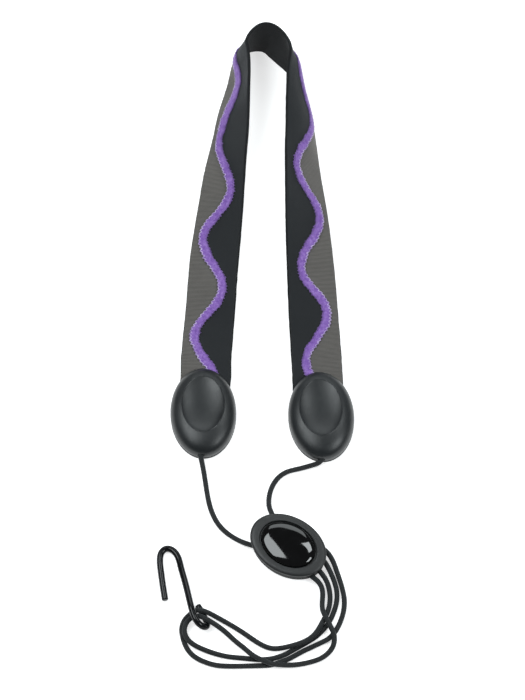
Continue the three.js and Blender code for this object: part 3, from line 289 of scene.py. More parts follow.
# ------------------------------------------------------------------ material helpers
class Nodes:
    """A small builder for procedural node materials."""
    def __init__(self, name):
        self.mat = bpy.data.materials.new(name)
        self.mat.use_nodes = True
        self.t = self.mat.node_tree
        self.t.nodes.clear()
        self.out = self.t.nodes.new("ShaderNodeOutputMaterial")
        self.bsdf = self.t.nodes.new("ShaderNodeBsdfPrincipled")
        self.t.links.new(self.bsdf.outputs[0], self.out.inputs[0])

    def n(self, kind, **values):
        node = self.t.nodes.new("ShaderNode" + kind)
        for k, v in values.items():
            setattr(node, k, v)
        return node

    def link(self, a, b):
        self.t.links.new(a, b)

    def put(self, socket, value):
        if isinstance(value, bpy.types.NodeSocket):
            self.link(value, socket)
        else:
            socket.default_value = value

    def math(self, op, a, b=None, c=None, clamp=False):
        m = self.n("Math", operation=op, use_clamp=clamp)
        self.put(m.inputs[0], a)
        if b is not None:
            self.put(m.inputs[1], b)
        if c is not None:
            self.put(m.inputs[2], c)
        return m.outputs[0]

    def coords(self, kind="Object", scale=(1, 1, 1), rotation=(0, 0, 0)):
        if kind == "UV":
            src = self.n("UVMap").outputs[0]
        else:
            src = self.n("TexCoord").outputs[kind]
        m = self.n("Mapping")
        self.link(src, m.inputs[0])
        m.inputs["Scale"].default_value = scale
        m.inputs["Rotation"].default_value = rotation
        return m.outputs[0]

    def split(self, vector):
        s = self.n("SeparateXYZ")
        self.link(vector, s.inputs[0])
        return s.outputs[0], s.outputs[1], s.outputs[2]

    def noise(self, vector, scale, detail=2.0, rough=0.5, distortion=0.0):
        m = self.n("TexNoise")
        self.link(vector, m.inputs["Vector"])
        m.inputs["Scale"].default_value = scale
        m.inputs["Detail"].default_value = detail
        m.inputs["Roughness"].default_value = rough
        m.inputs["Distortion"].default_value = distortion
        return m.outputs[0]

    def voronoi(self, vector, scale, feature="F1", rand=1.0):
        m = self.n("TexVoronoi", feature=feature)
        self.link(vector, m.inputs["Vector"])
        m.inputs["Scale"].default_value = scale
        m.inputs["Randomness"].default_value = rand
        return m.outputs["Distance"]

    def ramp(self, value, stops, interpolation="LINEAR"):
        r = self.n("ValToRGB")
        self.put(r.inputs[0], value)
        cr = r.color_ramp
        cr.interpolation = interpolation
        while len(cr.elements) < len(stops):
            cr.elements.new(0.5)
        for e, (pos, col) in zip(cr.elements, stops):
            e.position = pos
            e.color = (col, col, col, 1) if isinstance(col, (int, float)) else (*col, 1)
        return r.outputs[0]

    def mix(self, factor, a, b, blend="MIX"):
        m = self.n("Mix", data_type="RGBA", blend_type=blend)
        self.put(m.inputs[0], factor)
        for i, v in ((6, a), (7, b)):
            if isinstance(v, (tuple, list)):
                v = (*v, 1) if len(v) == 3 else v
            self.put(m.inputs[i], v)
        return m.outputs[2]

    def remap(self, value, lo, hi, a=0.0, b=1.0):
        m = self.n("MapRange")
        self.put(m.inputs[0], value)
        m.inputs[1].default_value, m.inputs[2].default_value = a, b
        m.inputs[3].default_value, m.inputs[4].default_value = lo, hi
        return m.outputs[0]

    def bump(self, height, distance, strength=1.0, normal=None):
        b = self.n("Bump")
        b.inputs["Strength"].default_value = strength
        b.inputs["Distance"].default_value = distance
        self.put(b.inputs["Height"], height)
        if normal is not None:
            self.link(normal, b.inputs["Normal"])
        return b.outputs[0]

    def set(self, **kw):
        names = dict(color="Base Color", rough="Roughness", metal="Metallic", normal="Normal", sheen="Sheen Weight",
                     sheen_rough="Sheen Roughness", sheen_tint="Sheen Tint", coat="Coat Weight", coat_rough="Coat Roughness",
                     ior="IOR", spec="Specular IOR Level", aniso="Anisotropic", coat_ior="Coat IOR")
        for k, v in kw.items():
            if isinstance(v, tuple) and len(v) == 3:
                v = (*v, 1)
            self.put(self.bsdf.inputs[names[k]], v)
        return self.mat


# ------------------------------------------------------------------ materials
def braid_material():
    """Polyester braid: fine yarns inside each carrier, with painted highlight on each yarn's crown and painted shade
    between yarns.
    """
    m = Nodes("cord_braid")
    uv = m.coords("UV")
    u, v, _ = m.split(uv)
    a = m.math("ADD", m.math("MULTIPLY", u, 1.0), v)
    b = m.math("SUBTRACT", m.math("MULTIPLY", u, 1.0), v)
    ya = m.math("ABSOLUTE", m.math("SINE", m.math("MULTIPLY", a, math.pi / 0.26)))
    yb = m.math("ABSOLUTE", m.math("SINE", m.math("MULTIPLY", b, math.pi / 0.26)))
    pa = m.math("SINE", m.math("MULTIPLY", a, math.pi / 1.2566))
    pb = m.math("SINE", m.math("MULTIPLY", b, math.pi / 1.2566))
    which = m.math("GREATER_THAN", m.math("MULTIPLY", pa, pb), 0.0)
    yarn = m.math("ADD", m.math("MULTIPLY", ya, which), m.math("MULTIPLY", yb, m.math("SUBTRACT", 1.0, which)))
    obj = m.coords("Object")
    n1 = m.noise(obj, 900, 3, 0.6)
    n2 = m.noise(obj, 60, 2, 0.5)
    # the yarn profile paints highlight on the yarn crowns and shade between yarns; the fibre noise mixed in is real
    # tone
    tone = m.math("ADD", m.math("MULTIPLY", yarn, 0.45), m.math("MULTIPLY", n1, 0.55))
    base = m.ramp(tone, [(0.15, (0.0035, 0.0042, 0.0046)), (0.55, (0.0100, 0.0118, 0.0128)), (0.9, (0.027, 0.031, 0.033))])
    col = m.mix(m.remap(n2, 0.0, 0.35, 0.35, 0.7), base, (0.0068, 0.0080, 0.0088))
    h = m.math("ADD", m.math("MULTIPLY", yarn, 0.7), m.math("MULTIPLY", n1, 0.5))
    return m.set(color=col, rough=m.remap(n1, 0.62, 0.86), normal=m.bump(h, 0.00008, 0.8), sheen=0.10, sheen_rough=0.45,
                 sheen_tint=(0.75, 0.85, 0.95), spec=0.4)


def webbing_material(name, dark, light, sheen=0.25, warp=0.55, weft=0.7, rough=(0.7, 0.92), tint=(0.7, 0.72, 0.75)):
    """Close plain weave in millimetres: warp yarns along v, weft yarns across, with painted highlight on the yarn
    crowns and painted shade at their edges.
    """
    m = Nodes(name)
    u, v, _ = m.split(m.coords("UV"))
    obj = m.coords("Object")
    wob = m.math("MULTIPLY", m.noise(obj, 220, 2, 0.5), 0.25)
    pu = m.math("MULTIPLY", m.math("ADD", u, wob), math.pi / warp)
    pv = m.math("MULTIPLY", m.math("ADD", v, wob), math.pi / weft)
    su, sv = m.math("SINE", pu), m.math("SINE", pv)
    which = m.math("GREATER_THAN", m.math("MULTIPLY", su, sv), 0.0)
    hu = m.math("MULTIPLY", m.math("ABSOLUTE", m.math("COSINE", m.math("MULTIPLY", pu, 1.0))), 1.0)
    hv = m.math("MULTIPLY", m.math("ABSOLUTE", m.math("COSINE", m.math("MULTIPLY", pv, 1.0))), 1.0)
    yarn = m.math("SUBTRACT", 1.0, m.math("MULTIPLY", m.math("ADD", m.math("MULTIPLY", hu, which), m.math("MULTIPLY", hv, m.math("SUBTRACT", 1.0, which))), 0.8))
    fibre = m.noise(obj, 2600, 3, 0.65)
    broad = m.noise(obj, 35, 3, 0.55)
    # the yarn profile paints shade at the yarn edges and highlight on the yarn crowns; fibre and broad noise are real
    # tone
    tone = m.math("ADD", m.math("MULTIPLY", yarn, 0.5), m.math("MULTIPLY", fibre, 0.5))
    col = m.mix(m.remap(tone, 0.0, 1.0, 0.2, 0.85), dark, light)
    col = m.mix(m.remap(broad, 0.0, 0.22, 0.3, 0.75), col, tuple(c * 0.72 for c in dark))
    h = m.math("ADD", yarn, m.math("MULTIPLY", fibre, 0.35))
    return m.set(color=col, rough=m.remap(fibre, rough[0], rough[1], 0.3, 0.7), normal=m.bump(h, 0.00012, 0.7), sheen=sheen,
                 sheen_rough=0.5, sheen_tint=tint, spec=0.25)


def rib_material():
    """Grey cross-ribbed fabric: painted highlight on the rib crowns, painted shade in the troughs between them, flecked
    fibres.
    """
    m = Nodes("grey_rib_fabric")
    u, v, _ = m.split(m.coords("UV"))
    obj = m.coords("Object")
    fibre = m.noise(obj, 2400, 3, 0.7)
    broad = m.noise(obj, 40, 3, 0.5)
    slub = m.noise(m.coords("UV", scale=(0.12, 1.15, 1)), 1.0, 2, 0.6)
    along = m.math("ABSOLUTE", m.math("SINE", m.math("MULTIPLY", u, math.pi / 0.42)))
    rib = m.math("ABSOLUTE", m.math("SINE", m.math("MULTIPLY", v, math.pi / 0.88)))
    # the rib profile paints highlight on the rib crowns and shade in the troughs, at the pitch of the rib relief; fibre
    # and slub noise are real tone
    tone = m.math("ADD", m.math("MULTIPLY", rib, 0.5), m.math("ADD", m.math("MULTIPLY", fibre, 0.3), m.math("MULTIPLY", slub, 0.2)))
    col = m.ramp(tone, [(0.2, (0.0330, 0.0315, 0.0298)), (0.5, (0.0790, 0.0740, 0.0690)), (0.82, (0.166, 0.156, 0.145))])
    col = m.mix(m.remap(broad, 0.0, 0.3, 0.35, 0.75), col, (0.0705, 0.0660, 0.0615))
    h = m.math("ADD", m.math("MULTIPLY", along, 0.5), m.math("MULTIPLY", fibre, 0.7))
    return m.set(color=col, rough=m.remap(fibre, 0.72, 0.95, 0.3, 0.7), normal=m.bump(h, 0.00009, 0.7), sheen=0.3, sheen_rough=0.5,
                 sheen_tint=(0.9, 0.88, 0.85), spec=0.25)


def suede_material():
    """Napped purple strip: soft brushed patches and cut fibres."""
    m = Nodes("purple_trim")
    obj = m.coords("Object")
    nap = m.noise(obj, 480, 4, 0.65, 0.6)
    fibre = m.noise(obj, 3200, 3, 0.7)
    broad = m.noise(obj, 90, 3, 0.55)
    tone = m.math("ADD", m.math("MULTIPLY", nap, 0.55), m.math("MULTIPLY", fibre, 0.45))
    col = m.ramp(tone, [(0.32, (0.088, 0.038, 0.200)), (0.48, (0.205, 0.105, 0.390)), (0.68, (0.390, 0.255, 0.610))])
    col = m.mix(m.remap(broad, 0.0, 0.35, 0.35, 0.7), col, (0.185, 0.090, 0.365))
    h = m.math("ADD", m.math("MULTIPLY", nap, 1.0), m.math("MULTIPLY", fibre, 0.5))
    return m.set(color=col, rough=m.remap(tone, 0.8, 0.98, 0.3, 0.7), normal=m.bump(h, 0.00022, 0.8), sheen=0.5, sheen_rough=0.4,
                 sheen_tint=(0.8, 0.68, 0.95), spec=0.15)


def thread_material(name, dark, light, groove_shade):
    m = Nodes(name)
    obj = m.coords("Object")
    u, v, _ = m.split(m.coords("UV"))
    twist = m.math("ABSOLUTE", m.math("SINE", m.math("MULTIPLY", m.math("ADD", u, v), math.pi / 0.22)))
    f = m.noise(obj, 300, 2, 0.5)
    col = m.mix(m.remap(f, 0.0, 1.0, 0.35, 0.65), dark, light)
    # painted shade in the grooves between the twisted plies
    col = m.mix(m.remap(twist, 0.35, 0.0), col, groove_shade)
    return m.set(color=col, rough=m.remap(f, 0.38, 0.55), normal=m.bump(twist, 0.00005, 0.8), sheen=0.3, sheen_rough=0.4, spec=0.5)


def moulded_material(name, dark, light, rough=(0.34, 0.46), grain=0.000012, coat=0.0, spec=0.5):
    """Satin moulded plastic: fine spark texture, faint rubbed patches and hairline marks."""
    m = Nodes(name)
    obj = m.coords("Object")
    spark = m.noise(obj, 2600, 3, 0.6)
    cloud = m.noise(obj, 28, 4, 0.55)
    rub = m.noise(obj, 130, 3, 0.6, 1.0)
    marks = m.voronoi(m.coords("Object", scale=(1, 6, 1), rotation=(0, 0, 0.6)), 55, "DISTANCE_TO_EDGE")
    hair = m.remap(marks, 1.0, 0.0, 0.0, 0.012)
    ptn = m.n("NewGeometry").outputs["Pointiness"]
    edge = m.remap(ptn, 0.0, 1.0, 0.52, 0.60)
    col = m.mix(m.remap(cloud, 0.0, 1.0, 0.3, 0.7), dark, light)
    col = m.mix(m.math("MULTIPLY", edge, 0.35), col, tuple(min(1.0, c * 2.6) for c in light))
    r = m.math("ADD", m.remap(rub, rough[0], rough[1], 0.3, 0.7), m.math("MULTIPLY", hair, 0.06))
    r = m.math("SUBTRACT", r, m.math("MULTIPLY", edge, 0.05))
    h = m.math("ADD", spark, m.math("MULTIPLY", hair, -0.15))
    return m.set(color=col, rough=r, normal=m.bump(h, grain, 0.8), spec=spec, coat=coat, coat_rough=0.25)


def gloss_material(name, color, rough=0.05, coat=0.6, peel=0.00002):
    """Polished black moulding or enamel: faint orange peel, dust-fine wear in the roughness."""
    m = Nodes(name)
    obj = m.coords("Object")
    peel_n = m.noise(obj, 260, 2, 0.5)
    dust = m.noise(obj, 1900, 4, 0.7)
    smear = m.noise(obj, 70, 4, 0.6, 1.5)
    col = m.mix(m.remap(smear, 0.0, 1.0, 0.35, 0.75), color, tuple(c * 1.9 + 0.0008 for c in color))
    r = m.math("ADD", m.remap(smear, rough, rough + 0.07, 0.45, 0.75), m.remap(dust, 0.0, 0.05, 0.6, 0.75))
    return m.set(color=col, rough=r, normal=m.bump(peel_n, peel, 0.5), spec=0.5, coat=coat, coat_rough=0.03)


def enamel_material():
    """Gloss black coating on wire: slight run and peel, and scattered greyer worn specks from noise."""
    m = Nodes("hook_coating")
    obj = m.coords("Object")
    peel = m.noise(obj, 420, 3, 0.55)
    run = m.noise(obj, 90, 3, 0.6, 0.8)
    wear = m.noise(obj, 650, 4, 0.65, 1.2)
    worn = m.remap(wear, 0.0, 1.0, 0.66, 0.8)
    col = m.mix(m.remap(run, 0.0, 1.0, 0.3, 0.7), (0.0022, 0.0025, 0.0032), (0.005, 0.0055, 0.007))
    col = m.mix(m.math("MULTIPLY", worn, 0.4), col, (0.03, 0.03, 0.034))
    r = m.math("ADD", m.remap(run, 0.13, 0.22, 0.3, 0.7), m.math("MULTIPLY", worn, 0.2))
    return m.set(color=col, rough=r, normal=m.bump(m.math("ADD", peel, run), 0.00005, 0.5), spec=0.27, coat=0.05, coat_rough=0.1)


def steel_material(name, base, rough, turned=True):
    m = Nodes(name)
    obj = m.coords("Object")
    grain = m.noise(m.coords("Object", scale=(1, 1, 12)), 900, 4, 0.6)
    spot = m.noise(obj, 260, 4, 0.65)
    col = m.mix(m.remap(spot, 0.0, 1.0, 0.35, 0.7), tuple(c * 0.72 for c in base), base)
    return m.set(color=col, metal=1.0, rough=m.remap(grain, rough, rough + 0.16, 0.3, 0.7), normal=m.bump(grain, 0.00002, 0.6))


M_BRAID = braid_material()
M_WEB = webbing_material("band_webbing", (0.0035, 0.004, 0.0046), (0.0150, 0.0162, 0.018), sheen=0.1)
M_BLACK = webbing_material("black_fabric", (0.0070, 0.0080, 0.0092), (0.0255, 0.0285, 0.032), sheen=0.12, warp=0.34, weft=0.42)
M_RIB = rib_material()
M_SUEDE = suede_material()
M_THREAD = thread_material("lilac_thread", (0.38, 0.27, 0.56), (0.72, 0.62, 0.86), (0.18, 0.10, 0.30))
# the same lilac thread darkened: painted shade along the trim's edge on the black panel
M_THREAD_PAINTED_SHADE = thread_material("lilac_thread_painted_shade", (0.10, 0.045, 0.21), (0.26, 0.15, 0.46), (0.05, 0.02, 0.10))
M_CAP = moulded_material("cap_plastic", (0.0085, 0.0105, 0.0118), (0.0125, 0.0150, 0.0168), rough=(0.35, 0.43))
M_ADJ = moulded_material("adjuster_plastic", (0.0100, 0.0110, 0.0116), (0.0150, 0.0162, 0.0168), rough=(0.42, 0.52))
M_BASE = moulded_material("cap_base_plastic", (0.0065, 0.0078, 0.0086), (0.0095, 0.0112, 0.0122), rough=(0.55, 0.68), spec=0.2)
M_TRAY = moulded_material("adjuster_tray_plastic", (0.0080, 0.0088, 0.0092), (0.0120, 0.0130, 0.0135), rough=(0.55, 0.68), spec=0.22)
M_BADGE = gloss_material("badge_gloss", (0.0006, 0.0007, 0.0009), coat=0.25, peel=0.000006)
M_HOOK = enamel_material()
M_SCREW = steel_material("screw_steel", (0.55, 0.56, 0.57), 0.25)
M_STOP = steel_material("stop_metal", (0.56, 0.54, 0.5), 0.34)


# ------------------------------------------------------------------ cords, first
def braid_tube(name, route, radius, step=0.3, sides=40, carriers=8, relief=0.13, smooth=1):
    """A round braided cord: two sets of carriers that pass over and under each other."""
    centre, s = resample(route, step, smooth)
    t, n, b = frames(centre)
    phi = np.arange(sides) / sides * 2 * np.pi
    S, PH = np.meshgrid(s, phi, indexing="ij")
    lay = 2 * np.pi * radius / carriers
    u1, u2 = carriers * PH / (2 * np.pi) + S / lay, carriers * PH / (2 * np.pi) - S / lay
    k1, k2 = np.round(u1), np.round(u2)
    across1 = np.sqrt(np.clip(1 - (2 * (u1 - k1)) ** 2 * 0.92, 0, 1))
    across2 = np.sqrt(np.clip(1 - (2 * (u2 - k2)) ** 2 * 0.92, 0, 1))
    over = np.cos(np.pi * u1) * np.cos(np.pi * u2)
    over = np.tanh(3.0 * over)
    h1 = 0.55 * across1 + 0.45 * over
    h2 = 0.55 * across2 - 0.45 * over
    h = np.maximum(h1, h2)
    r = radius - relief + relief * h
    fade = 1 + 0.012 * np.sin(S / 7.0 + 1.3) + 0.008 * np.sin(S / 2.9)
    r = r * fade
    P = centre[:, None, :] + r[..., None] * (np.cos(PH)[..., None] * n[:, None, :] + np.sin(PH)[..., None] * b[:, None, :])
    rows, cols = P.shape[:2]
    verts = P.reshape(-1, 3).tolist()
    faces = [tuple(f) for f in grid_faces(rows, cols, wrap_cols=True)]
    faces = [(a, d, c, b2) for a, b2, c, d in faces]
    i0 = len(verts); verts.append((centre[0] - t[0] * 0.4).tolist())
    i1 = len(verts); verts.append((centre[-1] + t[-1] * 0.4).tolist())
    for k in range(cols):
        faces.append((i0, k, (k + 1) % cols))
        last = (rows - 1) * cols
        faces.append((i1, last + (k + 1) % cols, last + k))
    v_of = np.concatenate([s, [s[-1]]])
    o = new_object(name, verts, faces, M_BRAID, uv=mirror_uv(cols, 2 * math.pi * radius / cols, rows, v_of))
    return o, centre, s[-1]


R_CORD = CORD_D / 2
cord_ul, path_ul, len_ul = braid_tube("cord_upper_left_braid", ROUTE_UPPER_LEFT, R_CORD)
cord_ur, path_ur, len_ur = braid_tube("cord_upper_right_braid", ROUTE_UPPER_RIGHT, R_CORD)
cord_fr, path_fr, len_fr = braid_tube("cord_front_run_braid", ROUTE_FRONT_RUN, R_CORD)
cord_rr, path_rr, len_rr = braid_tube("cord_rear_run_braid", ROUTE_REAR_RUN, R_CORD)


def declare_cord(o, path, length, *nodes):
    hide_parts(*nodes)


def blend_along(o):
    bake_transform(o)


blend_along(cord_ul)
blend_along(cord_ur)
blend_along(cord_fr)
blend_along(cord_rr)
declare_cord(cord_ul, path_ul, len_ul, "cord_upper_left")
declare_cord(cord_ur, path_ur, len_ur, "cord_upper_right")
declare_cord(cord_fr, path_fr, len_fr, "cord_run_front_outgoing", "cord_bight_inner", "cord_run_front_returning")
declare_cord(cord_rr, path_rr, len_rr, "cord_run_rear_outgoing", "cord_bight_outer", "cord_run_rear_returning")
for n_ in ("cord_inside_left", "cord_inside_right", "cord_inside_return"):
    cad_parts[n_].data.materials.clear()
    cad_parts[n_].data.materials.append(M_BRAID)


# ------------------------------------------------------------------ band surface
ST = np.array(BAND_STATIONS, float)
_fine = catmull(ST, np.linspace(0, len(ST) - 1, (len(ST) - 1) * 16 + 1))


def section(rows):
    """Origin, width direction, normal and chord of each row of [x, y, z, tilt, bow]."""
    o = rows[:, :3]
    d = np.gradient(rows[:, :2], axis=0)
    d /= np.linalg.norm(d, axis=1)[:, None]
    inward = np.stack([d[:, 1], -d[:, 0], np.zeros(len(d))], 1)
    tilt = np.radians(rows[:, 3])[:, None]
    z = np.array([[0, 0, 1.0]])
    w = inward * np.cos(tilt) + z * np.sin(tilt)
    n = -inward * np.sin(tilt) + z * np.cos(tilt)
    chord = BAND_WIDTH * (1 - 2.667 * (rows[:, 4] / BAND_WIDTH) ** 2)
    return o, w, n, chord


_o, _w, _n, _c = section(_fine)
_bow = _fine[:, 4]
_mid = _o + _w * (0.5 * _c)[:, None] + _n * _bow[:, None]
_d = arc(_mid)
_d = _d - _d[2 * 16]
D0, D1 = _d[0], _d[-1]


def soften(a, spread):
    """Rounds a line of rows off over a few millimetres, keeping both ends where they are."""
    m = int(3 * spread / 0.5)
    k = np.exp(-0.5 * (np.arange(-m, m + 1) * 0.5 / spread) ** 2)
    k /= k.sum()
    p = np.concatenate([2 * a[0] - a[1:m + 1][::-1], a, 2 * a[-1] - a[-m - 1:-1][::-1]])
    return np.stack([np.convolve(p[:, c], k, "valid") for c in range(a.shape[1])], 1)


_even = np.linspace(D0, D1, int(round((D1 - D0) / 0.5)) + 1)
_on_even = lambda a: np.stack([np.interp(_even, _d, a[:, k]) for k in range(a.shape[1])], 1)
_far = soften(_on_even(_o + _w * _c[:, None]), 2.6)
_o2 = soften(_on_even(_o), 2.6)
_n = soften(_on_even(_n), 3.5)
_c, _bow = np.interp(_even, _d, _c), np.interp(_even, _d, _bow)
_w = (_far - _o2) / np.linalg.norm(_far - _o2, axis=1)[:, None]
_o, _d = _o2, _even


def band_point(d, u, lift):
    """Points on the band: distance along, place across from -1 (outer edge) to 1 (inner edge), height off the rear face."""
    d, u, lift = np.broadcast_arrays(np.asarray(d, float), np.asarray(u, float), np.asarray(lift, float))
    shape = d.shape
    d, u, lift = d.ravel(), u.ravel(), lift.ravel()
    pick = lambda a: np.stack([np.interp(d, _d, a[:, k]) for k in range(a.shape[1])], 1)
    O, Wd, N = pick(_o), pick(_w), pick(_n)
    Wd /= np.linalg.norm(Wd, axis=1)[:, None]
    N -= Wd * np.sum(N * Wd, 1)[:, None]
    N /= np.linalg.norm(N, axis=1)[:, None]
    c, bow = np.interp(d, _d, _c), np.interp(d, _d, _bow)
    P = O + Wd * ((u + 1) / 2 * c)[:, None] + N * (bow * (1 - u * u))[:, None]
    slope = Wd * (c / 2)[:, None] + N * (-2 * bow * u)[:, None]
    # the surface's own normal, from its slope across and the way it runs along
    e = 1.6
    def base(dd):
        pk = lambda a: np.stack([np.interp(dd, _d, a[:, k]) for k in range(a.shape[1])], 1)
        o2, w2, n2 = pk(_o), pk(_w), pk(_n)
        return o2 + w2 * ((u + 1) / 2 * np.interp(dd, _d, _c))[:, None] + n2 * (np.interp(dd, _d, _bow) * (1 - u * u))[:, None]
    along = base(np.clip(d + e, D0, D1)) - base(np.clip(d - e, D0, D1))
    nn = np.cross(slope, along)
    nn /= np.linalg.norm(nn, axis=1)[:, None]
    nn *= np.sign(np.sum(nn * N, 1))[:, None]
    return (P + nn * lift[:, None]).reshape(shape + (3,))


def wave(d):
    d = np.asarray(d, float)
    c, lv = np.array(WAVE_CRESTS, float), np.array(WAVE_LEVELS, float)
    k = np.clip(np.searchsorted(c, d, side="right") - 1, 0, len(c) - 2)
    f = np.clip((d - c[k]) / (c[k + 1] - c[k]), 0, 1)
    return lv[k] + (lv[k + 1] - lv[k]) * (1 - np.cos(np.pi * f)) / 2


def trim_half(d):
    s = wave(d + 0.5) - wave(d - 0.5)
    swell = TRIM_SWELL * np.cos(np.pi / 2 * np.clip(np.abs(np.asarray(d, float) - SWELL_AT) / SWELL_REACH, 0, 1)) ** 2
    return (TRIM_WIDTH + swell) / 2 * np.hypot(1, s)


def value_noise(x, seed, wavelength):
    """Smooth repeatable noise along a line, from -1 to 1."""
    rng = np.random.RandomState(seed)
    table = rng.uniform(-1, 1, 4096)
    t = np.asarray(x, float) / wavelength + 1000
    i = np.floor(t).astype(int)
    f = t - i
    f = f * f * (3 - 2 * f)
    return table[i % 4096] * (1 - f) + table[(i + 1) % 4096] * f


def ribbon(name, material, d, section_points, uv_scale=1.0):
    """A closed strip: section_points(d) gives a ring of (across in mm, lift) for every distance, run along the band."""
    across, lift = section_points(d)              # arrays rows x ring
    P = band_point(d[:, None], across / (BAND_WIDTH / 2), lift)
    rows, ring = across.shape
    faces = grid_faces(rows, ring, wrap_cols=True).tolist()
    verts = P.reshape(-1, 3)
    cap0 = list(range(ring))
    cap1 = [(rows - 1) * ring + k for k in range(ring)]
    faces += [tuple(cap0), tuple(reversed(cap1))]
    # u across in millimetres, v along
    girth = np.concatenate([np.zeros((rows, 1)), np.cumsum(np.hypot(np.diff(across, axis=1), np.diff(lift, axis=1)), 1)], 1)
    uv = np.stack([across + 40 + 0 * girth, np.repeat(d[:, None], ring, 1)], -1).reshape(-1, 2)
    o = new_object(name, verts, faces, material, uv=uv)
    bm = bmesh.new()
    bm.from_mesh(o.data)
    bmesh.ops.recalc_face_normals(bm, faces=bm.faces)
    bm.to_mesh(o.data)
    bm.free()
    return o


def rounded_ring(lo, hi, bottom, top, radius, n_flat, n_round=5):
    """A ring of (t across 0..1 as lo/hi arrays, lift) with rounded long edges. lo and hi are arrays per row."""
    r = radius
    ang = np.linspace(0, np.pi, n_round * 2 + 1)
    rz = (top - bottom) / 2
    # left edge: from bottom round to top
    left_a = lo[:, None] + r * (1 - np.sin(ang))[None, :]
    left_l = (bottom + rz) - rz * np.cos(ang)[None, :] + 0 * lo[:, None]
    t = np.linspace(0, 1, n_flat + 2)[1:-1]
    top_a = lo[:, None] + r + (hi - lo - 2 * r)[:, None] * t[None, :]
    top_l = np.full_like(top_a, top)
    right_a = hi[:, None] - r * (1 - np.sin(ang))[None, :]
    right_l = (bottom + rz) + rz * np.cos(ang)[None, :] + 0 * lo[:, None]
    bot_a = top_a[:, ::-1]
    bot_l = np.full_like(bot_a, bottom)
    return np.concatenate([left_a, top_a, right_a, bot_a], 1), np.concatenate([left_l, top_l, right_l, bot_l], 1)


HALF = BAND_WIDTH / 2
WEB_TOP, FACE_BOTTOM, FACE_TOP, TRIM_BOTTOM, TRIM_TOP = 1.15, 1.17, 2.0, 2.02, 2.75


def webbing_section(d):
    lo = -HALF + 0.10 * value_noise(d, 11, 3.1)
    hi = HALF + 0.10 * value_noise(d, 12, 3.3)
    return rounded_ring(lo, hi, 0.0, WEB_TOP, 0.55, 22)


d_web = np.linspace(D0 + 0.5, D1 - 0.5, int((D1 - D0) / 0.9))
band_back = ribbon("band_backing_webbing", M_WEB, d_web, webbing_section)

RIB = 0.88


def grey_section(d):
    lo = -HALF + 0.45 + 0.10 * value_noise(d, 21, 2.7)
    hi = wave(d) + 0.6
    a, l = rounded_ring(lo, hi, FACE_BOTTOM, FACE_TOP, 0.38, 12)
    rib = 0.13 * np.abs(np.sin(np.pi * d / RIB))[:, None]
    yarn = 0.02 * np.sin(2 * np.pi * a / 1.9 + d[:, None] * 0.7)
    up = l > (FACE_BOTTOM + FACE_TOP) / 2
    l = np.where(up, l - 0.13 + rib + yarn, l)
    return a, l


d_rib = np.arange(D0 + 1.0, D1 - 1.0, RIB / 5)
band_grey = ribbon("band_face_grey_rib", M_RIB, d_rib, grey_section)


def black_section(d):
    lo = wave(d) - 0.2
    hi = HALF - 0.75 + 0.08 * value_noise(d, 31, 2.9)
    a, l = rounded_ring(lo, hi, FACE_BOTTOM, FACE_TOP - 0.02, 0.38, 14)
    up = l > (FACE_BOTTOM + FACE_TOP) / 2
    weave = 0.03 * np.sin(np.pi * d / 0.55)[:, None] * np.sin(np.pi * a / 0.9)
    return a, np.where(up, l + weave, l)


d_blk = np.arange(D0 + 1.0, D1 - 1.0, 0.3)
band_black = ribbon("band_face_black", M_BLACK, d_blk, black_section)


def trim_edges(d):
    w, h = wave(d), trim_half(d)
    lo = w - h + 0.42 * value_noise(d, 41, 2.1) + 0.22 * value_noise(d, 42, 0.8) + 0.28 * value_noise(d, 43, 8.0)
    hi = w + h + 0.46 * value_noise(d, 44, 2.2) + 0.24 * value_noise(d, 45, 0.85) + 0.28 * value_noise(d, 46, 7.0)
    return lo, hi


def trim_section(d):
    lo, hi = trim_edges(d)
    a, l = rounded_ring(lo, hi, TRIM_BOTTOM, TRIM_TOP, 0.42, 9)
    mid = (a - lo[:, None]) / (hi - lo)[:, None]
    crown = 0.16 * np.sin(np.pi * np.clip(mid, 0, 1)) + 0.05 * value_noise(d, 47, 2.3)[:, None] * np.sin(2 * np.pi * mid)
    pinch = -0.14 * np.exp(-((mid - 0.17) / 0.09) ** 2) - 0.14 * np.exp(-((mid - 0.83) / 0.09) ** 2)
    up = l > (TRIM_BOTTOM + TRIM_TOP) / 2
    return a, np.where(up, l + crown + pinch * (0.6 + 0.4 * np.sin(2 * np.pi * d / 1.5))[:, None], l)


d_trim = np.arange(D0 + 8.0, D1 - 8.0, 0.3)
band_trim = ribbon("band_wavy_trim", M_SUEDE, d_trim, trim_section)


